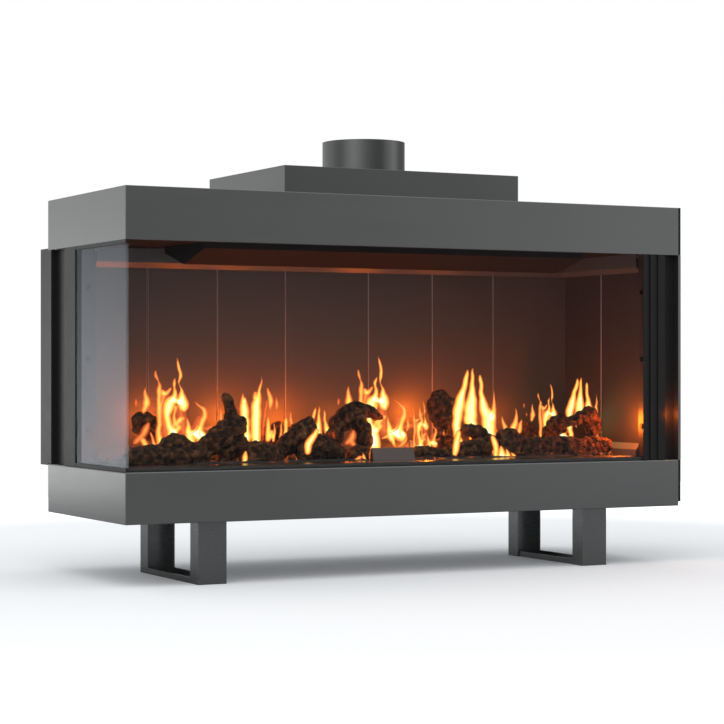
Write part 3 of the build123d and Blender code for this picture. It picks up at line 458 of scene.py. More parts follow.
class FireboxSettings(bpy.types.PropertyGroup):
    """Colours inside the firebox."""

    board: colour("Lining", "Panels at the back and right", (0.055, 0.046, 0.042))
    # Painted highlight on the lining's chamfers
    chamfer_highlight: colour("Joints", "Chamfers along the joints between panels", (0.26, 0.24, 0.235))
    sooted: colour("Sooted lining", "Panels at the right, where more soot settles", (0.026, 0.02, 0.018))
    paint: colour("Heat paint", "Floor and walls of the firebox", (0.03, 0.027, 0.026))
    soot: colour("Soot", "Ceiling and deflector above the flames", (0.012, 0.0085, 0.0075))
    rails: colour("Rails", "Rails that hold the lining panels", (0.06, 0.066, 0.07))
    screws: colour("Screws", "Sooted screws of the end strips", (0.02, 0.018, 0.017))


class GasTrainSettings(bpy.types.PropertyGroup):
    """Colours of the gas train and the bare plate."""

    brass: colour("Brass", "Injector and fittings", (0.72, 0.5, 0.2))
    casting: colour("Casting", "Body of the gas valve", (0.5, 0.5, 0.5))
    knob: colour("Knob", "Plastic of the control knob", (0.02, 0.02, 0.02))
    pipe: colour("Pipes", "Drawn metal of the gas pipes", (0.6, 0.6, 0.58))
    plate: colour("Plate", "Small plate that leans before the bed", (0.125, 0.1, 0.095))


class LogSettings(bpy.types.PropertyGroup):
    """Form and colour of the log castings."""

    fineness: length("Fineness", "Size of the small faces of a log", 2.4 * MM)
    swell: length("Swell", "Depth of the large lumps", 11 * MM)
    bark: length("Bark", "Depth of the broken bark", 9 * MM)
    crust: length("Crust", "Depth of the fine crust", 4 * MM)
    swell_size: length("Swell size", "Size of the large lumps", 34 * MM)
    bark_size: length("Bark size", "Size of the pieces that the bark is broken into", 14 * MM)
    crust_size: length("Crust size", "Size of the grains of the crust", 5.5 * MM)
    level: share("Level", "Share of a pattern's depth that lies inside the plain casting", 0.36)
    char: colour("Char", "Colour of the hollows", (0.01, 0.006, 0.004))
    wood: colour("Bark colour", "Colour of the bark", (0.078, 0.031, 0.011))
    ash: colour("Ash", "Colour of the ridges", (0.21, 0.094, 0.036))


class EmberSettings(bpy.types.PropertyGroup):
    """Granules that lie on the burner."""

    fineness: length("Fineness", "Size of the small faces of the bed", 4 * MM)
    lump: length("Lumps", "Height of the bed's lumps", 4 * MM)
    lump_size: length("Lump size", "Size of the bed's lumps", 9 * MM)
    level: share("Level", "Share of the lumps' height that lies inside the plain slab", 0.6)
    count: IntProperty(name="Granules", description="Number of loose granules", default=520, min=0)
    seed: IntProperty(name="Seed", description="Order in which the granules fall", default=11)
    smallest: length("Smallest", "Radius of the smallest granule", 2.5 * MM)
    largest: length("Largest", "Radius of the largest granule", 6 * MM)
    dark: colour("Granules", "Colour of a cold granule", (0.03, 0.024, 0.02))
    glow: colour("Glow", "Colour of a glowing granule", (1.0, 0.2, 0.02))
    strength: number("Glow strength", "How bright the glowing patches are", 0.8)


class FlameSettings(bpy.types.PropertyGroup):
    """Colours and light of the flames."""

    rim: colour("Rim", "Edge and tips of a flame", (0.82, 0.1, 0.028))
    flank: colour("Flank", "Just inside the edge", (1.0, 0.28, 0.06))
    body: colour("Body", "Body of a flame", (1.0, 0.88, 0.15))
    core: colour("Core", "Hottest part of a flame", (1.0, 1.0, 0.8))
    amber: colour("Amber", "Between the flank and the body", (1.0, 0.6, 0.1))
    spread: share("Spread", "Width of a tongue beside its measured width", 1.18, 2.0)
    fineness: length("Fineness", "Size of the faces of a flame's sheet", 1.6 * MM)
    raggedness: length("Raggedness", "How far a flame's edge wanders", 2.2 * MM)
    raggedness_size: length("Raggedness size", "Size of the waves in a flame's edge", 11 * MM)
    seed: IntProperty(name="Seed", description="Which waves a flame's edge gets", default=1, min=1)
    strength: number("Brightness", "Emission of the flames", 1.15)
    light: colour("Fire light", "Colour of the light that the flames throw", (1.0, 0.17, 0.01))
    wall_power: number("Wall light", "Watts of one lamp that lights the lining behind the flames", 0.85)
    log_power: number("Log light", "Watts of one lamp between the logs", 0.14)
    wall_lamp: length("Wall lamp", "Radius of a lamp behind the flames", 20 * MM)
    log_lamp: length("Log lamp", "Radius of a lamp between the logs", 6 * MM)


class StudioSettings(bpy.types.PropertyGroup):
    """Camera and studio."""

    camera_place: FloatVectorProperty(name="Camera", description="Place of the camera", subtype="XYZ",
                                      unit="LENGTH", size=3, default=(-1.8188, -3.4836, 0.3576))
    camera_turn: FloatProperty(name="Turn", description="How far the camera turns to the right",
                               subtype="ANGLE", default=math.radians(27.47))
    lens: FloatProperty(name="Lens", description="Focal length in mm", default=107.48, min=1)
    rise: FloatProperty(name="Rise", description="Vertical shift of the camera, as a share of the frame",
                        default=RISE_PIXELS / PHOTO_SIDE)
    slide: FloatProperty(name="Slide", description="Sideways shift of the camera, as a share of the frame",
                         default=SLIDE_PIXELS / PHOTO_SIDE)
    floor: length("Floor", "Length of the floor's side", 4.5)
    floor_gap: length("Floor gap", "How far the floor lies below the feet", 0.2 * MM)
    room: number("Room light", "Brightness of the room", 1.25)
    key: number("Key light", "Watts of the large lamp above", 10.0)
    key_size: length("Key size", "Length of the large lamp's side", 1.8)
    key_place: FloatVectorProperty(name="Key place", description="Place of the large lamp", subtype="XYZ",
                                   unit="LENGTH", size=3, default=(-0.9, -1.3, 2.6))
    key_turn: FloatVectorProperty(name="Key turn", description="Turn of the large lamp", subtype="EULER",
                                  size=3, default=(math.radians(27), 0, math.radians(-35)))


# Modelling helpers


def deselect():
    bpy.ops.object.select_all(action="DESELECT")


def activate(*pieces):
    """Selects only these objects and makes the first one active."""
    deselect()
    for piece in pieces:
        piece.select_set(True)
    bpy.context.view_layer.objects.active = pieces[0]


def join(pieces):
    """Makes one object of several."""
    activate(*pieces)
    bpy.ops.object.join()
    return bpy.context.active_object


def pick(piece, kind, chosen):
    """Selects only the chosen edges or faces of a piece and leaves it in edit mode."""
    activate(piece)
    bpy.ops.object.mode_set(mode="EDIT")
    bpy.ops.mesh.select_mode(type=kind)
    bpy.ops.mesh.select_all(action="DESELECT")
    bpy.ops.object.mode_set(mode="OBJECT")
    for element in piece.data.edges if kind == "EDGE" else piece.data.polygons:
        element.select = chosen(element)
    bpy.ops.object.mode_set(mode="EDIT")


def settle(piece):
    """Moves the object's place, turn and size into its mesh."""
    activate(piece)
    bpy.ops.object.transform_apply(location=True, rotation=True, scale=True)


def finish_piece(piece, name, material, smooth=True):
    """Names a piece, gives it its material and lets it ride on the casing."""
    settle(piece)
    piece.name = name
    piece.data.name = name
    piece.data.materials.clear()
    piece.data.materials.append(material)
    if smooth:
        bpy.ops.object.shade_smooth()
    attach(piece, "casing")


def apply_modifier(piece, kind, **settings):
    """Adds a modifier with its settings and applies it."""
    activate(piece)
    modifier = piece.modifiers.new(kind.title(), kind)
    for name, value in settings.items():
        setattr(modifier, name, value)
    bpy.ops.object.modifier_apply(modifier=modifier.name)


def texture(name, kind, scale, **settings):
    """Procedural texture for a displacement."""
    made = bpy.data.textures.new(name, kind)
    made.noise_scale = scale
    for key, value in settings.items():
        setattr(made, key, value)
    return made


def copy_of_node(node, name):
    """Copy of a CAD node's mesh as a new object, with its loose triangles merged."""
    piece = bpy.data.objects.new(name, NODES[node].data.copy())
    bpy.context.scene.collection.objects.link(piece)
    activate(piece)
    bpy.ops.object.mode_set(mode="EDIT")
    bpy.ops.mesh.select_all(action="SELECT")
    bpy.ops.mesh.remove_doubles(threshold=0.01 * MM)
    bpy.ops.mesh.normals_make_consistent(inside=False)
    bpy.ops.object.mode_set(mode="OBJECT")
    return piece


def dress_node(node, material):
    """Gives a material to one CAD node."""
    NODES[node].data.materials.clear()
    NODES[node].data.materials.append(material)


def dress(slot, material):
    """Gives a material to every CAD node of one material slot."""
    for part in RECORD["subparts"]:
        if part["material_slot"] == slot:
            dress_node(part["node"], material)


# Pieces


class FIRE_OT_sheet_metal(bpy.types.Operator):
    """Finish the bands, cheeks, legs, posts and the hidden sheets"""

    bl_idname = "fire.sheet_metal"
    bl_label = "Sheet metal"

    def execute(self, context):
        metal = context.scene.fire_sheet_metal
        roughness = metal.band_roughness
        dress("band", satin_metal("band_satin", metal.band, roughness))
        dress("leg_black", satin_metal("leg_satin", metal.legs, metal.leg_roughness))
        dress("frame_black", powder_coat("frame_powder", metal.frames, roughness=0.4))
        dress_node("right_side_panel", powder_coat("panel_powder", metal.frames, roughness=0.5))
        dress("galvanised", zinc_sheet("zinc_sheet", metal.zinc))
        bright = brushed_metal("stainless_brushed", metal.steel, roughness=0.2, stretch=BRUSHED_ALONG_X)
        dress("stainless", bright)
        dress_node("left_rear_cheek", powder_coat("cheek_powder", metal.cheek, roughness=0.36))
        dress_node("flue_box", satin_metal("flue_satin", metal.flue, roughness))
        dress_node("outer_flue_collar", satin_metal("spigot_satin", metal.spigot, roughness))
        return {"FINISHED"}


class FIRE_OT_apron(bpy.types.Operator):
    """Polish the burner tray and model the plate on its rim, between the front glass and the ember bed"""

    bl_idname = "fire.apron"
    bl_label = "Apron"

    def execute(self, context):
        apron = context.scene.fire_apron
        steel = context.scene.fire_sheet_metal.steel
        polished = brushed_metal("tray_polished", steel, roughness=0.12, stretch=BRUSHED_ALONG_X)
        dress_node("burner_tray", polished)
        low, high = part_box("burner_tray")
        front, back = low.y - apron.reach, low.y + apron.lap
        left, right = low.x - apron.left, high.x - apron.right
        deselect()
        bpy.ops.mesh.primitive_plane_add(size=1, location=((left + right) / 2, (front + back) / 2, high.z))
        plate = bpy.context.active_object
        plate.scale = (right - left, back - front, 1)
        settle(plate)
        for vertex in plate.data.vertices:
            if vertex.co.y < low.y and vertex.co.x > 0:
                vertex.co.x -= apron.narrowing
        corners = plate.data.vertices
        pick(plate, "EDGE", lambda edge: all(corners[end].co.y < low.y for end in edge.vertices))
        bpy.ops.mesh.extrude_region_move(TRANSFORM_OT_translate={"value": (0, 0, -apron.fold)})
        bpy.ops.object.mode_set(mode="OBJECT")
        apply_modifier(plate, "SOLIDIFY", thickness=apron.sheet, offset=1.0)
        apply_modifier(plate, "BEVEL", width=apron.edge_round, segments=2)
        finish_piece(plate, "front_apron", polished, smooth=False)
        return {"FINISHED"}


class FIRE_OT_glass(bpy.types.Operator):
    """Finish the two panes and their rope seals"""

    bl_idname = "fire.glass"
    bl_label = "Glass"

    def execute(self, context):
        glass = context.scene.fire_glass
        dress_node("side_glass", thin_glass("side_pane", glass.mirror, glass.edge))
        dress_node("front_glass", thin_glass("coated_pane", glass.coated, glass.edge))
        dress("rope_seal", woven_rope("rope_seal", glass.rope))
        return {"FINISHED"}


class FIRE_OT_firebox(bpy.types.Operator):
    """Finish the lining, ceiling, floor and rails"""

    bl_idname = "fire.firebox"
    bl_label = "Firebox"

    def execute(self, context):
        firebox = context.scene.fire_firebox
        dress("lining_board", lining_board("lining_board", firebox.board, firebox.chamfer_highlight))
        sooted = lining_board("sooted_board", firebox.sooted, firebox.chamfer_highlight)
        dress_node("side_lining_1", sooted)
        dress_node("side_lining_2", sooted)
        dress("firebox_black", heat_paint("heat_paint", firebox.paint, roughness=0.42))
        soot = heat_paint("sooted_paint", firebox.soot, roughness=0.75, sheen=0.1)
        dress_node("ceiling_baffle", soot)
        dress_node("flue_deflector", soot)
        dress_node("lining_rails", heat_paint("rail_paint", firebox.rails, roughness=0.35))
        dress("screw_steel", brushed_metal("screw_steel", firebox.screws, roughness=0.35, stretch=UNBRUSHED))
        return {"FINISHED"}


class FIRE_OT_gas_train(bpy.types.Operator):
    """Finish the valve, pipes, fittings and the bare plate"""

    bl_idname = "fire.gas_train"
    bl_label = "Gas train"

    def execute(self, context):
        train = context.scene.fire_gas_train
        dress("brass", brushed_metal("brass", train.brass, roughness=0.25, stretch=TURNED_ABOUT_Z))
        dress("valve_body", cast_metal("valve_casting", train.casting))
        dress("knob_plastic", moulded_plastic("knob_plastic", train.knob))
        dress("pipe_metal", brushed_metal("pipe_metal", train.pipe, roughness=0.22, stretch=DRAWN_ALONG_Z))
        dress("plate_metal", satin_metal("plate_satin", train.plate, roughness=0.34))
        return {"FINISHED"}


LOG_NODES = ("log_front_left", "log_rear_left", "log_diagonal_left", "logs_middle", "log_arch",
             "logs_right_of_plate", "logs_right")


class FIRE_OT_logs(bpy.types.Operator):
    """Model the charred logs over their plain castings"""

    bl_idname = "fire.logs"
    bl_label = "Logs"

    def execute(self, context):
        logs = context.scene.fire_logs
        char = charred_wood("charred_wood", logs.char, logs.wood, logs.ash)
        swell = texture("log_swell", "CLOUDS", logs.swell_size, noise_depth=2)
        bark = texture("log_bark", "VORONOI", logs.bark_size)
        crust = texture("log_crust", "CLOUDS", logs.crust_size, noise_depth=3)
        for node in LOG_NODES:
            piece = copy_of_node(node, f"charred_{node}")
            apply_modifier(piece, "REMESH", mode="VOXEL", voxel_size=logs.fineness)
            for pattern, depth in ((swell, logs.swell), (bark, logs.bark), (crust, logs.crust)):
                apply_modifier(piece, "DISPLACE", texture=pattern, strength=depth, mid_level=logs.level,
                               texture_coords="LOCAL")
            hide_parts(node)
            finish_piece(piece, f"charred_{node}", char)
        return {"FINISHED"}


class FIRE_OT_ember_bed(bpy.types.Operator):
    """Model the granular bed on the burner and the loose granules on it"""

    bl_idname = "fire.ember_bed"
    bl_label = "Ember bed"

    def execute(self, context):
        embers = context.scene.fire_embers
        glow = ember_bed_finish("embers", embers.dark, embers.glow, embers.strength)
        bed = copy_of_node("ember_bed", "granular_bed")
        apply_modifier(bed, "REMESH", mode="VOXEL", voxel_size=embers.fineness)
        lumps = texture("bed_lumps", "VORONOI", embers.lump_size)
        apply_modifier(bed, "DISPLACE", texture=lumps, strength=embers.lump, mid_level=embers.level,
                       texture_coords="LOCAL")
        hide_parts("ember_bed")
        finish_piece(bed, "granular_bed", glow)
        self.scatter(embers, glow)
        return {"FINISHED"}

    def scatter(self, embers, glow):
        """Copies one broken granule over the bed, each copy turned and sized by chance."""
        low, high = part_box("ember_bed")
        plate_low, plate_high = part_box("bare_plate")
        chance = random.Random(embers.seed)
        deselect()
        bpy.ops.mesh.primitive_ico_sphere_add(subdivisions=1, radius=1.0)
        stone = bpy.context.active_object
        for vertex in stone.data.vertices:
            vertex.co *= chance.uniform(0.72, 1.15)
        copies = []
        while len(copies) < embers.count:
            size = chance.uniform(embers.smallest, embers.largest)
            x = chance.uniform(low.x + size, high.x - size)
            y = chance.uniform(low.y + size, high.y - size)
            if plate_low.x - size < x < plate_high.x + size and y < plate_high.y + size:
                continue
            copy = bpy.data.objects.new("granule", stone.data.copy())
            copy.location = (x, y, high.z + size * chance.uniform(-0.2, 0.4))
            copy.rotation_euler = Euler([chance.uniform(0, math.tau) for _ in range(3)])
            copy.scale = (size, size * chance.uniform(0.7, 1.0), size * chance.uniform(0.6, 0.9))
            bpy.context.scene.collection.objects.link(copy)
            copies.append(copy)
        bpy.data.objects.remove(stone)
        finish_piece(join(copies), "loose_granules", glow, smooth=False)


# How hot a tongue of a flame is
HOT, WARM, DIM, FAINT = 1.0, 0.74, 0.4, 0.17

# The burner's ports repeat, and so do its flames: a pattern is drawn once and stands at several places.
# Each tongue has its heat, and points from its tip to its foot: mm to the right of and above the foot of
# the pattern, and half the tongue's width in mm.
CURLING = (
    (FAINT, ((-4, 92, 6), (-8, 72, 7), (-6, 50, 7), (-3, 28, 9), (2, 8, 9))),
    (FAINT, ((22, 66, 7), (24, 46, 9), (28, 26, 10), (46, 30, 9), (53, 48, 7))),
    (WARM, ((-19, 134, 1), (-18, 125, 2.6), (-15, 116, 1.5), (-13, 110, 2.9), (-14, 100, 4.5), (-14, 88, 4),
           (-14, 74, 4.3), (-13, 59, 4.5), (-13, 44, 4.1), (-14, 31, 4.5), (-13, 19, 5.8), (-9, 8, 9),
           (-8, 0, 5.8))),
    (WARM, ((-8, 100, 2.6), (-5.5, 96, 4.3), (0, 96, 4), (5, 103, 2.4))),
    (DIM, ((-6.5, 93, 4), (-7, 84, 2.9), (-9, 76, 1.5))),
    (HOT, ((13, 121, 0.9), (11, 113, 2.8), (11, 105, 2.2), (12, 98, 3.4), (11, 88, 5.5), (5, 79, 9),
           (2, 69, 8.4), (0, 59, 6.2), (1, 49, 5.7), (3, 39, 5.8), (6, 34, 6.9), (8, 27, 7.9), (10, 17, 9),
           (11, 3, 9))),
    (HOT, ((15, 157, 0.7), (18, 148, 2.1), (20, 137, 2.8), (21, 130, 2.9), (21, 123, 3.1), (19, 114, 1.5),
           (20, 110, 1.2), (22, 106, 1.4), (24, 101, 2.6), (24, 93, 5), (25, 84, 7.9), (26, 76, 9.1),
           (27, 70, 5.8), (29, 65, 1.9))),
    (HOT, ((10, 84, 4), (16, 81, 5), (22, 80, 5))),
    (WARM, ((13, 72, 3.4), (11, 59, 2.8), (12, 49, 4), (14, 42, 5.2), (20, 49, 4.5), (26, 52, 3.1),
           (28, 54, 0.9))),
    (WARM, ((19, 36, 5), (14, 29, 5))),
    (HOT, ((32, 51, 0.9), (33, 44, 2.4), (34, 36, 4), (35, 29, 5), (37, 19, 5.8), (39, 15, 5.8),
           (42, 11, 4), (44, 4, 2.4), (46, 0, 0.9))),
    (WARM, ((22, 16, 1.9), (30, 18, 2.9))),
    (WARM, ((44, 81, 0.7), (50, 76, 1.9), (55, 72, 2.4), (60, 66, 4), (61, 58, 4.5), (60, 51, 5),
           (56, 40, 4.5), (53, 31, 7.4), (52, 22, 10), (57, 15, 7.7))),
    (HOT, ((42, 26, 5), (52, 23, 7), (61, 21, 5))),
    (DIM, ((62, 35, 1.9), (67, 33, 3.1), (73, 37, 2.6), (75, 33, 1.4))),
    (WARM, ((-27, 27, 1.7), (-24, 15, 2.8), (-21, 4, 3.8), (-19, 0, 2.6))),
    (HOT, ((-10, 1, 7), (-3, 7, 9.5), (5, 11, 8.6), (11, 11, 2.6))),
    (WARM, ((88, 68, 0.7), (89, 59, 2.2), (89, 52, 2.9), (90, 45, 1.4))),
    (WARM, ((-35, 106, 0.7), (-36, 96, 2.9), (-35, 86, 5), (-35, 79, 6.4), (-36, 73, 5), (-38, 66, 4),
           (-39, 61, 0.9))),
    (DIM, ((-52, 86, 0.5), (-52, 79, 2.4), (-52, 73, 0.5))),
)
LICKING = (
    (DIM, ((-33, 43, 2.9), (-36, 35, 5.8), (-41, 27, 5.8), (-47, 20, 5), (-52, 14, 4.5), (-56, 10, 1.5))),
    (WARM, ((-41, 14, 5), (-38, 8, 5), (-36, 2, 4.5))),
)
SPIRES = (
    (HOT, ((-34, 89, 0.5), (-34, 82, 2.3), (-33, 75, 5), (-32, 67, 6.9), (-31, 58, 8), (-31, 50, 7.6),
           (-27, 41, 5), (-26, 31, 4.6), (-26, 20, 5.6), (-27, 12, 7.6), (-26, 5, 5), (-26, 0, 3.5))),
    (HOT, ((-30, 81, 1), (-31, 74, 2.5))),
    (HOT, ((-2, 118, 0.5), (-2, 110, 1.2), (-4, 101, 2.3), (-6, 91, 3), (-8, 82, 5), (-10, 73, 7.6),
           (-11, 63, 8.6), (-11, 53, 8.8), (-11, 12, 8.6), (-10, 6, 7), (-6, 1, 2.5))),
    (WARM, ((-13, 88, 3.5), (-14, 81, 4))),
    (DIM, ((7, 74, 1.6), (6, 63, 1.9), (4, 51, 1.9), (2, 39, 1.9), (1, 28, 1.8), (1, 18, 1.6),
           (1, 7, 1.1))),
    (WARM, ((9, 98, 0.5), (10, 91, 2.8), (12, 83, 4), (13, 75, 4.6), (13, 67, 3.5), (13, 59, 0.7))),
    (WARM, ((24, 82, 0.4), (24, 75, 1.9), (24, 68, 2.8), (24, 61, 1.6), (24, 58, 0.4))),
    (HOT, ((9, 48, 0.5), (9, 39, 3), (9, 28, 4), (9, 18, 4.6), (9, 7, 4.6))),
    (HOT, ((20, 34, 0.9), (20, 24, 1.9), (19, 13, 3), (18, 4, 2.5))),
    (WARM, ((15, 20, 4), (15, 12, 5))),
    (WARM, ((33, 36, 0.9), (32, 28, 2.3), (32, 18, 2.5), (31, 10, 2.5))),
    (HOT, ((40, 45, 0.9), (40, 39, 3.5), (39, 28, 3.5), (39, 18, 4), (41, 12, 6.5), (44, 9, 3.5))),
    (WARM, ((48, 56, 0.5), (48, 47, 1.9), (49, 39, 2.8), (50, 31, 2.5), (49, 22, 1.8), (48, 15, 2.5))),
)
FORKED = (
    (HOT, ((-5, 160, 0.9), (-6, 153, 3.5), (-9, 140, 5), (-13, 125, 5.6), (-16, 113, 7.4), (-19, 101, 9.3),
           (-23, 85, 10), (-25, 70, 8.7), (-26, 56, 8.1), (-25, 44, 7.4), (-24, 35, 6.1), (-21, 29, 6.1),
           (-23, 18, 6.8), (-25, 8, 6.1))),
    (HOT, ((5, 163, 0.9), (4, 153, 3.1), (4, 140, 3.9), (4, 128, 5.2), (3, 115, 7.4), (2, 103, 10),
           (1, 91, 11.5), (1, 78, 11.8), (0, 68, 11.8), (7, 59, 5.5), (11, 53, 1.9))),
    (HOT, ((19, 151, 0.9), (19, 144, 3.5), (20, 134, 3.9), (20, 122, 4.3), (22, 109, 5.6), (24, 97, 8.1),
           (28, 83, 10), (33, 72, 13), (34, 60, 13), (36, 47, 12), (39, 39, 10), (44, 31, 6.1),
           (45, 23, 5.6), (46, 13, 5.2), (46, 4, 5), (45, -4, 5.6))),
    (WARM, ((45, 122, 0.7), (45, 113, 1.5), (45, 103, 2.8), (44, 93, 3.9), (44, 83, 5), (40, 72, 6))),
)
FRONT_ROW = (
    (HOT, ((404, 52, 3.5), (395, 39, 5.9), (387, 27, 6.6), (385, 15, 5.2))),
    (HOT, ((154, 15, 1.7), (158, 6, 6.8), (158, -3, 5.4))),
    (WARM, ((172, 16, 0.9), (170, 10, 3.4), (168, 2, 4.8))),
    (HOT, ((266, 16, 2.1), (265, 7, 4.8), (265, -3, 4.1))),
    (WARM, ((276, 5, 0.7), (278, 2, 2.6), (277, -2, 3.1))),
    (HOT, ((494, 11, 0.7), (497, 2, 3.2), (499, -6, 3.5))),
    (WARM, ((492, 4, 1.4), (486, 2, 3.5), (480, -3, 4.4))),
    (WARM, ((509, 20, 0.9), (508, 7, 1.4), (508, -5, 1.6))),
    (HOT, ((690, 44, 4.5), (686, 30, 6), (683, 17, 6.5), (681, 6, 5))),
    (HOT, ((762, 34, 4), (765, 26, 5.5), (767, 16, 5.5), (767, 6, 5), (767, -6, 5))),
    (HOT, ((779, -4, 7), (795, -5, 6), (812, -6, 4.5))),
    (HOT, ((778, 17, 1.8), (780, 6, 6.4), (782, -6, 7.3))),
    (HOT, ((791, 12, 1.5), (795, 2, 4.8), (795, -6, 6.4))),
    (HOT, ((801, 5, 1.1), (806, -1, 4), (808, -6, 5.5))),
    (WARM, ((816, -1, 0.9), (820, -4, 2.6), (821, -6, 4))),
    (WARM, ((769, -1, 3.7), (759, -3, 4.6), (750, -6, 4.6))),
)
LOW_SPRAY = (
    (WARM, ((8, 52, 0.6), (9, 40, 2.6), (7, 26, 5), (3, 14, 7), (0, 2, 7))),
    (WARM, ((19, 30, 1), (17, 20, 4), (14, 8, 5))),
    (WARM, ((-20, 36, 1), (-18, 26, 3), (-12, 14, 5), (-6, 2, 6))),
    (DIM, ((24, 62, 0.5), (24, 57, 1.8), (24, 52, 0.5))),
    (DIM, ((38, 44, 0.5), (38, 38, 2), (38, 33, 0.5))),
    (DIM, ((-34, 22, 0.6), (-32, 14, 2.4), (-30, 4, 3))),
)
ARCH_WISPS = (
    (DIM, ((496, 48, 3), (495, 40, 6), (490, 32, 6), (482, 27, 3.5))),
    (DIM, ((495, 26, 5.2), (500, 18, 3))),
    (WARM, ((606, 37, 0.9), (603, 30, 2.9), (597, 24, 3.2), (591, 19, 1.8))),
    (WARM, ((1021, 17, 0.6), (1020, 11, 2.3), (1019, 4, 3))),
)

# How deep in mm inside a flame its core is fully hot
CORE_DEPTH = 7.0

# Shares of the heat at a place that come from its depth in mm and from how near the middle it lies
DEPTH_SHARE = 0.65
MIDDLE_SHARE = 1 - DEPTH_SHARE

# How wide a mm along the burner looks to the camera, which is turned to it
SEEN_WIDTH = 0.9

# How steeply depths rise where tongues merge
MERGE_POWER = 2.5

# A crossing sheet's width beside its tongue's, and how many points of the tongue's line it has to a face
CROSSING_WIDTH = 0.7
CROSSING_STRIDE = 3

# Faces of the grid round the tongues: the margin, how far outside it a tongue is measured, how far outside
# it faces are kept, and how far outside a place counts that no tongue reaches
MARGIN_FACES = 4
REACHED_FACES = 1.8
KEPT_FACES = 1.5
UNREACHED_FACES = 2

# Waves in a flame's edge upwards, beside those across: how close they lie, and how far they sway
UPWARD_WAVES = 0.7
UPWARD_SWAY = 0.5

# Places of the flames: name, pattern, the foot's mm right of the casing's corner, behind its front and above
# the ember bed, and the pattern's width and height there
FLAMES = (
    ("left", CURLING, 149, 185, 22, 1.13, 1.0),
    ("far_left", LICKING, 149, 180, 22, 1.13, 1.0),
    ("left_middle", SPIRES, 331, 188, 28, 1.13, 1.0),
    ("before_arch", FORKED, 439, 188, -2, 0.7, 0.58),
    ("behind_arch", CURLING, 557, 215, 16, 1.2, 1.06),
    ("right_of_plate", CURLING, 640, 180, 10, 0.61, 0.58),
    ("tall_right", FORKED, 755, 188, -3, 1.13, 1.0),
    ("behind_right", LOW_SPRAY, 890, 262, 32, 1.13, 1.0),
    ("right", CURLING, 957, 250, 12, 0.79, 0.755),
    ("far_right", FORKED, 1021, 228, 11, 0.89, 0.81),
    ("front_row", FRONT_ROW, 0, 118, 0, 1.0, 1.0),
    ("wisps", ARCH_WISPS, 0, 160, 0, 1.0, 1.0),
)


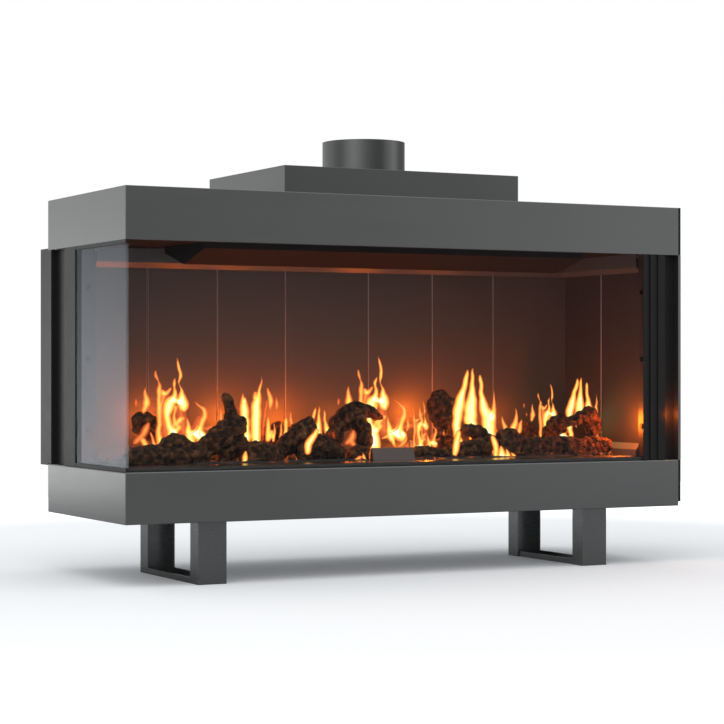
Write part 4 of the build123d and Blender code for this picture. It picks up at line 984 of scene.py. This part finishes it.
class FIRE_OT_flames(bpy.types.Operator):
    """Model the flames as crossed sheets, and the light they throw"""

    bl_idname = "fire.flames"
    bl_label = "Flames"

    def execute(self, context):
        flames = context.scene.fire_flames
        noise.seed_set(flames.seed)
        finish = flame_finish("flames", flames.rim, flames.flank, flames.amber, flames.body, flames.core,
                              flames.strength)
        for name, pattern, x, depth, foot, wide, tall in FLAMES:
            tongues = []
            for heat, points in pattern:
                placed = [(x + across * wide, foot + up * tall, half * tall) for across, up, half in points]
                tongues.append((heat, dense_line(placed, flames.fineness / MM)))
            sheets = [self.row(tongues, depth, flames)]
            sheets += [self.crossing(heat, line, depth) for heat, line in tongues]
            finish_piece(join(sheets), f"flames_{name}", finish)
        self.lamps("wall_light", WALL_LIGHTS, flames.wall_power, flames.light, flames.wall_lamp)
        self.lamps("log_light", LOG_LIGHTS, flames.log_power, flames.light, flames.log_lamp)
        return {"FINISHED"}

    def row(self, tongues, depth, flames):
        """Upright sheet along the burner, cut out to the shape that the tongues have where they merge."""
        step = flames.fineness / MM
        margin = MARGIN_FACES * step
        line = [point for heat, points in tongues for point in points]
        left = min(x - half for x, up, half in line) - margin
        low = min(up - half for x, up, half in line) - margin
        columns = int((max(x + half for x, up, half in line) + margin - left) / step) + 1
        rows = int((max(up + half for x, up, half in line) + margin - low) / step) + 1
        deselect()
        bpy.ops.mesh.primitive_grid_add(x_subdivisions=columns, y_subdivisions=rows, size=1)
        sheet = bpy.context.active_object
        inside = {}
        warmth = {}
        for heat, points in tongues:
            for cell, (deep, part) in self.reach(points, left, low, step, flames).items():
                inside.setdefault(cell, []).append(deep)
                warmth[cell] = warmth.get(cell, 0.0) + heat * part
        kept = []
        depths = []
        heats = []
        for vertex in sheet.data.vertices:
            cell = (round((vertex.co.x + 0.5) * columns), round((vertex.co.y + 0.5) * rows))
            deep = merged(inside.get(cell, [-UNREACHED_FACES * step]))
            kept.append(deep > -KEPT_FACES * step)
            depths.append(deep)
            heats.append(warmth.get(cell, 0.0))
            vertex.co = at(left + cell[0] * step, depth, BED_TOP / MM + low + cell[1] * step)
        write_flame(sheet, depths, heats)
        pick(sheet, "FACE", lambda face: not any(kept[corner] for corner in face.vertices))
        bpy.ops.mesh.delete(type="FACE")
        bpy.ops.object.mode_set(mode="OBJECT")
        return sheet

    def reach(self, points, left, low, step, flames):
        """Grid cells that a tongue reaches: how deep each lies inside it in mm, and its share of the heat."""
        cells = {}
        for x, up, half in points:
            half = half * flames.spread
            wave = Vector((x, up * UPWARD_WAVES, 0)) / flames.raggedness_size * MM
            sway = noise.noise_vector(wave) * flames.raggedness / MM
            x, up = x + sway.x, up + sway.y * UPWARD_SWAY
            reach = half + REACHED_FACES * step
            for column in range(math.ceil((x - reach - left) / step), int((x + reach - left) / step) + 1):
                for row in range(math.ceil((up - reach - low) / step), int((up + reach - low) / step) + 1):
                    deep = half - math.hypot((left + column * step - x) * SEEN_WIDTH, low + row * step - up)
                    if deep > cells.get((column, row), (-math.inf,))[0]:
                        within = max(deep, 0)
                        middle = within / max(half, 1)
                        core = min(within / CORE_DEPTH, 1)
                        cells[column, row] = (deep, middle * MIDDLE_SHARE + core * DEPTH_SHARE)
        return cells

    def crossing(self, heat, points, depth):
        """Narrow upright sheet through a tongue from front to back, for the views from the sides."""
        rows = max(len(points) // CROSSING_STRIDE, 2)
        deselect()
        bpy.ops.mesh.primitive_grid_add(x_subdivisions=4, y_subdivisions=rows, size=2)
        sheet = bpy.context.active_object
        depths = []
        heats = []
        for vertex in sheet.data.vertices:
            side = vertex.co.x
            x, up, half = points[round((1 - vertex.co.y) / 2 * (len(points) - 1))]
            depths.append(half * (1 - abs(side)))
            heats.append(heat * (MIDDLE_SHARE + DEPTH_SHARE * min(half / CORE_DEPTH, 1)))
            vertex.co = at(x, depth + side * half * CROSSING_WIDTH, BED_TOP / MM + up)
        write_flame(sheet, depths, heats)
        return sheet

    def lamps(self, name, places, power, light, size):
        """Small warm lamps among the flames."""
        for x, y, z, part in places:
            bpy.ops.object.light_add(type="POINT", location=at(x, y, z))
            lamp = bpy.context.active_object
            lamp.name = name
            lamp.data.energy = power * part
            lamp.data.color = light
            lamp.data.shadow_soft_size = size


def write_flame(sheet, depths, heats):
    """Writes how deep in mm each point lies inside its flame, and how hot it is there."""
    for name, values in (("inside", depths), ("warmth", heats)):
        sheet.data.attributes.new(name, "FLOAT", "POINT")
        sheet.data.attributes[name].data.foreach_set("value", values)


def merged(depths):
    """Depth inside flames that run into each other."""
    within = [deep for deep in depths if deep > 0]
    return sum(deep ** MERGE_POWER for deep in within) ** (1 / MERGE_POWER) if within else max(depths)


def dense_line(points, step):
    """Places about a step apart along a smooth line through the points."""
    line = []
    for first in range(len(points) - 1):
        count = max(int(math.dist(points[first][:2], points[first + 1][:2]) / step), 1)
        line += [smooth_line(points, (first + part / count) / (len(points) - 1)) for part in range(count)]
    return line + [list(points[-1])]


def smooth_line(points, share):
    """Values at a share of the way along a smooth line through the points."""
    place = share * (len(points) - 1)
    first = min(int(place), len(points) - 2)
    step = place - first
    before, after = points[max(first - 1, 0)], points[min(first + 2, len(points) - 1)]
    result = []
    for a, b, c, d in zip(before, points[first], points[first + 1], after):
        bend = (2 * a - 5 * b + 4 * c - d) * step ** 2 + (3 * b - a - 3 * c + d) * step ** 3
        result.append(b + ((c - a) * step + bend) / 2)
    return result


# Lamps of the fire: mm right of, behind and above the casing's corner, and share of the power
WALL_LIGHTS = (
    (190, 300, 268, 0.85),
    (330, 300, 268, 0.8),
    (450, 300, 264, 0.9),
    (565, 300, 268, 0.25),
    (725, 300, 274, 1.1),
    (910, 300, 260, 0.42),
    (1030, 104, 258, 1.2),
)
LOG_LIGHTS = (
    (150, 190, 222, 1.4),
    (205, 160, 226, 0.2),
    (310, 185, 228, 1.4),
    (385, 190, 226, 1.0),
    (450, 175, 224, 1.2),
    (560, 175, 226, 1.6),
    (648, 165, 222, 1.2),
    (750, 190, 228, 1.4),
    (795, 125, 206, 1.0),
    (935, 200, 232, 0.5),
    (1010, 215, 240, 0.25),
    (1068, 2, 272, 1.3),
)


# The room's light as metal mirrors it, by the angle around the object: share of a turn to the right of the
# camera's own direction, counted from straight behind the object, and brightness
ROOM_LIGHT = (
    (0.0, 0.34), (0.06, 0.36), (0.12, 0.9), (0.18, 0.92), (0.26, 0.5), (0.315, 0.38), (0.37, 0.74),
    (0.42, 1.0), (0.47, 0.74), (0.515, 0.46), (0.56, 0.32), (0.61, 0.23), (0.652, 0.25), (0.68, 0.52),
    (0.717, 0.64), (0.75, 0.95), (0.785, 0.7), (0.825, 0.33), (0.88, 0.21), (1.0, 0.34),
)


class FIRE_OT_studio(bpy.types.Operator):
    """Set up the floor, the room light, the key lamp and the camera"""

    bl_idname = "fire.studio"
    bl_label = "Studio"

    def execute(self, context):
        studio = context.scene.fire_studio
        self.camera(context, studio)
        self.floor(studio)
        self.room(context, studio)
        self.key(studio)
        context.scene.view_settings.view_transform = "Standard"
        return {"FINISHED"}

    def camera(self, context, studio):
        turn = (math.pi / 2, 0, -studio.camera_turn)
        bpy.ops.object.camera_add(location=studio.camera_place, rotation=turn)
        camera = bpy.context.active_object
        camera.name = "front_camera"
        camera.data.sensor_width = 36
        camera.data.lens = studio.lens
        camera.data.shift_y = studio.rise
        camera.data.shift_x = studio.slide
        camera.data.clip_end = 100
        context.scene.camera = camera

    def floor(self, studio):
        deselect()
        bpy.ops.mesh.primitive_plane_add(size=studio.floor, location=(0, 0, -studio.floor_gap))
        floor = bpy.context.active_object
        floor.name = "studio_floor"
        settle(floor)
        tree = Tree(bpy.data.materials.new("studio_floor"))
        tree.nodes.clear()
        seen = self.seen_directly(tree)
        mirrored = tree.add("ShaderNodeLightPath", output="Is Glossy Ray")
        away = tree.add("ShaderNodeVectorMath", {"operation": "LENGTH"}, {0: tree.place()}, "Value")
        far = tree.fade(away, 1.2, 1.8)
        unseen = tree.mix(mirrored, (0.8, 0.8, 0.8), (0.38, 0.38, 0.38))
        tint = tree.mix(seen, unseen, (0.98, 0.99, 1.0))
        diffuse = tree.add("ShaderNodeBsdfDiffuse", inputs={"Color": tint})
        glow = {"Color": (0.86, 0.93, 1.0), "Strength": seen * (0.08 + far * 0.62)}
        lift = tree.add("ShaderNodeEmission", inputs=glow)
        both = tree.add("ShaderNodeAddShader", inputs={0: diffuse, 1: lift})
        tree.add("ShaderNodeOutputMaterial", inputs={"Surface": both})
        floor.data.materials.append(tree.owner)

    def seen_directly(self, tree):
        """1 for rays that come straight from the camera or through a pane."""
        camera = tree.add("ShaderNodeLightPath", output="Is Camera Ray")
        return camera.largest(tree.add("ShaderNodeLightPath", output="Is Transmission Ray"))

    def room(self, context, studio):
        """Room that metal and glass mirror, with lamps at its left and right. Seen directly it is white."""
        world = bpy.data.worlds.new("room")
        context.scene.world = world
        tree = Tree(world)
        tree.nodes.clear()
        direction = tree.add("ShaderNodeTexCoord", output="Generated")
        right = tree.axis(direction, "X")
        back = tree.axis(direction, "Y")
        up = tree.axis(direction, "Z")
        angle = tree.add("ShaderNodeMath", {"operation": "ARCTAN2"}, {0: right, 1: back})
        start = (math.pi + studio.camera_turn) / math.tau + 0.5
        turn = tree.add("ShaderNodeMath", {"operation": "FRACT"}, {0: start + 1.0 - angle / math.tau})
        around = tree.ramp(turn, [(place, (level, level, level)) for place, level in ROOM_LIGHT])
        left = tree.fade(turn, 0.06, 0.12) * tree.fade(turn, 0.24, 0.18)
        around = tree.tint(around, 1.0 + left * tree.fade(up, -0.06, 0.1, 0.6, -0.38))
        overhead = tree.fade(up, 0.25, 0.85)
        light = tree.tint(tree.mix(overhead, around, (0.74, 0.75, 0.76)), studio.room)
        shown = tree.mix(self.seen_directly(tree), light, (1.0, 1.0, 1.0))
        background = tree.add("ShaderNodeBackground", inputs={"Color": shown, "Strength": 1.0})
        tree.add("ShaderNodeOutputWorld", inputs={"Surface": background})

    def key(self, studio):
        bpy.ops.object.light_add(type="AREA", location=studio.key_place, rotation=studio.key_turn)
        lamp = bpy.context.active_object
        lamp.name = "key_lamp"
        lamp.data.size = studio.key_size
        lamp.data.energy = studio.key


# Add-on


class FIRE_PT_sidebar(bpy.types.Panel):
    """Panel that lists the steps"""

    bl_idname = "FIRE_PT_sidebar"
    bl_label = "Gas fire"
    bl_space_type = "VIEW_3D"
    bl_region_type = "UI"
    bl_category = "Gas fire"

    def draw(self, context):
        for operator in STEPS:
            self.layout.operator(operator.bl_idname)


STEPS = (
    FIRE_OT_studio,
    FIRE_OT_sheet_metal,
    FIRE_OT_apron,
    FIRE_OT_glass,
    FIRE_OT_firebox,
    FIRE_OT_gas_train,
    FIRE_OT_logs,
    FIRE_OT_ember_bed,
    FIRE_OT_flames,
)
SETTINGS = {
    "fire_sheet_metal": SheetMetalSettings,
    "fire_apron": ApronSettings,
    "fire_glass": GlassSettings,
    "fire_firebox": FireboxSettings,
    "fire_gas_train": GasTrainSettings,
    "fire_logs": LogSettings,
    "fire_embers": EmberSettings,
    "fire_flames": FlameSettings,
    "fire_studio": StudioSettings,
}


def register():
    for group in SETTINGS.values():
        bpy.utils.register_class(group)
    for operator in STEPS:
        bpy.utils.register_class(operator)
    bpy.utils.register_class(FIRE_PT_sidebar)
    for name, group in SETTINGS.items():
        setattr(bpy.types.Scene, name, PointerProperty(type=group))


def unregister():
    for name in SETTINGS:
        delattr(bpy.types.Scene, name)
    for group in (FIRE_PT_sidebar, *STEPS, *SETTINGS.values()):
        bpy.utils.unregister_class(group)


def main():
    """Builds the whole scene."""
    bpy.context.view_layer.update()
    register()
    bpy.ops.fire.studio()
    bpy.ops.fire.sheet_metal()
    bpy.ops.fire.apron()
    bpy.ops.fire.glass()
    bpy.ops.fire.firebox()
    bpy.ops.fire.gas_train()
    bpy.ops.fire.logs()
    bpy.ops.fire.ember_bed()
    bpy.ops.fire.flames()


if __name__ == "__main__":
    main()
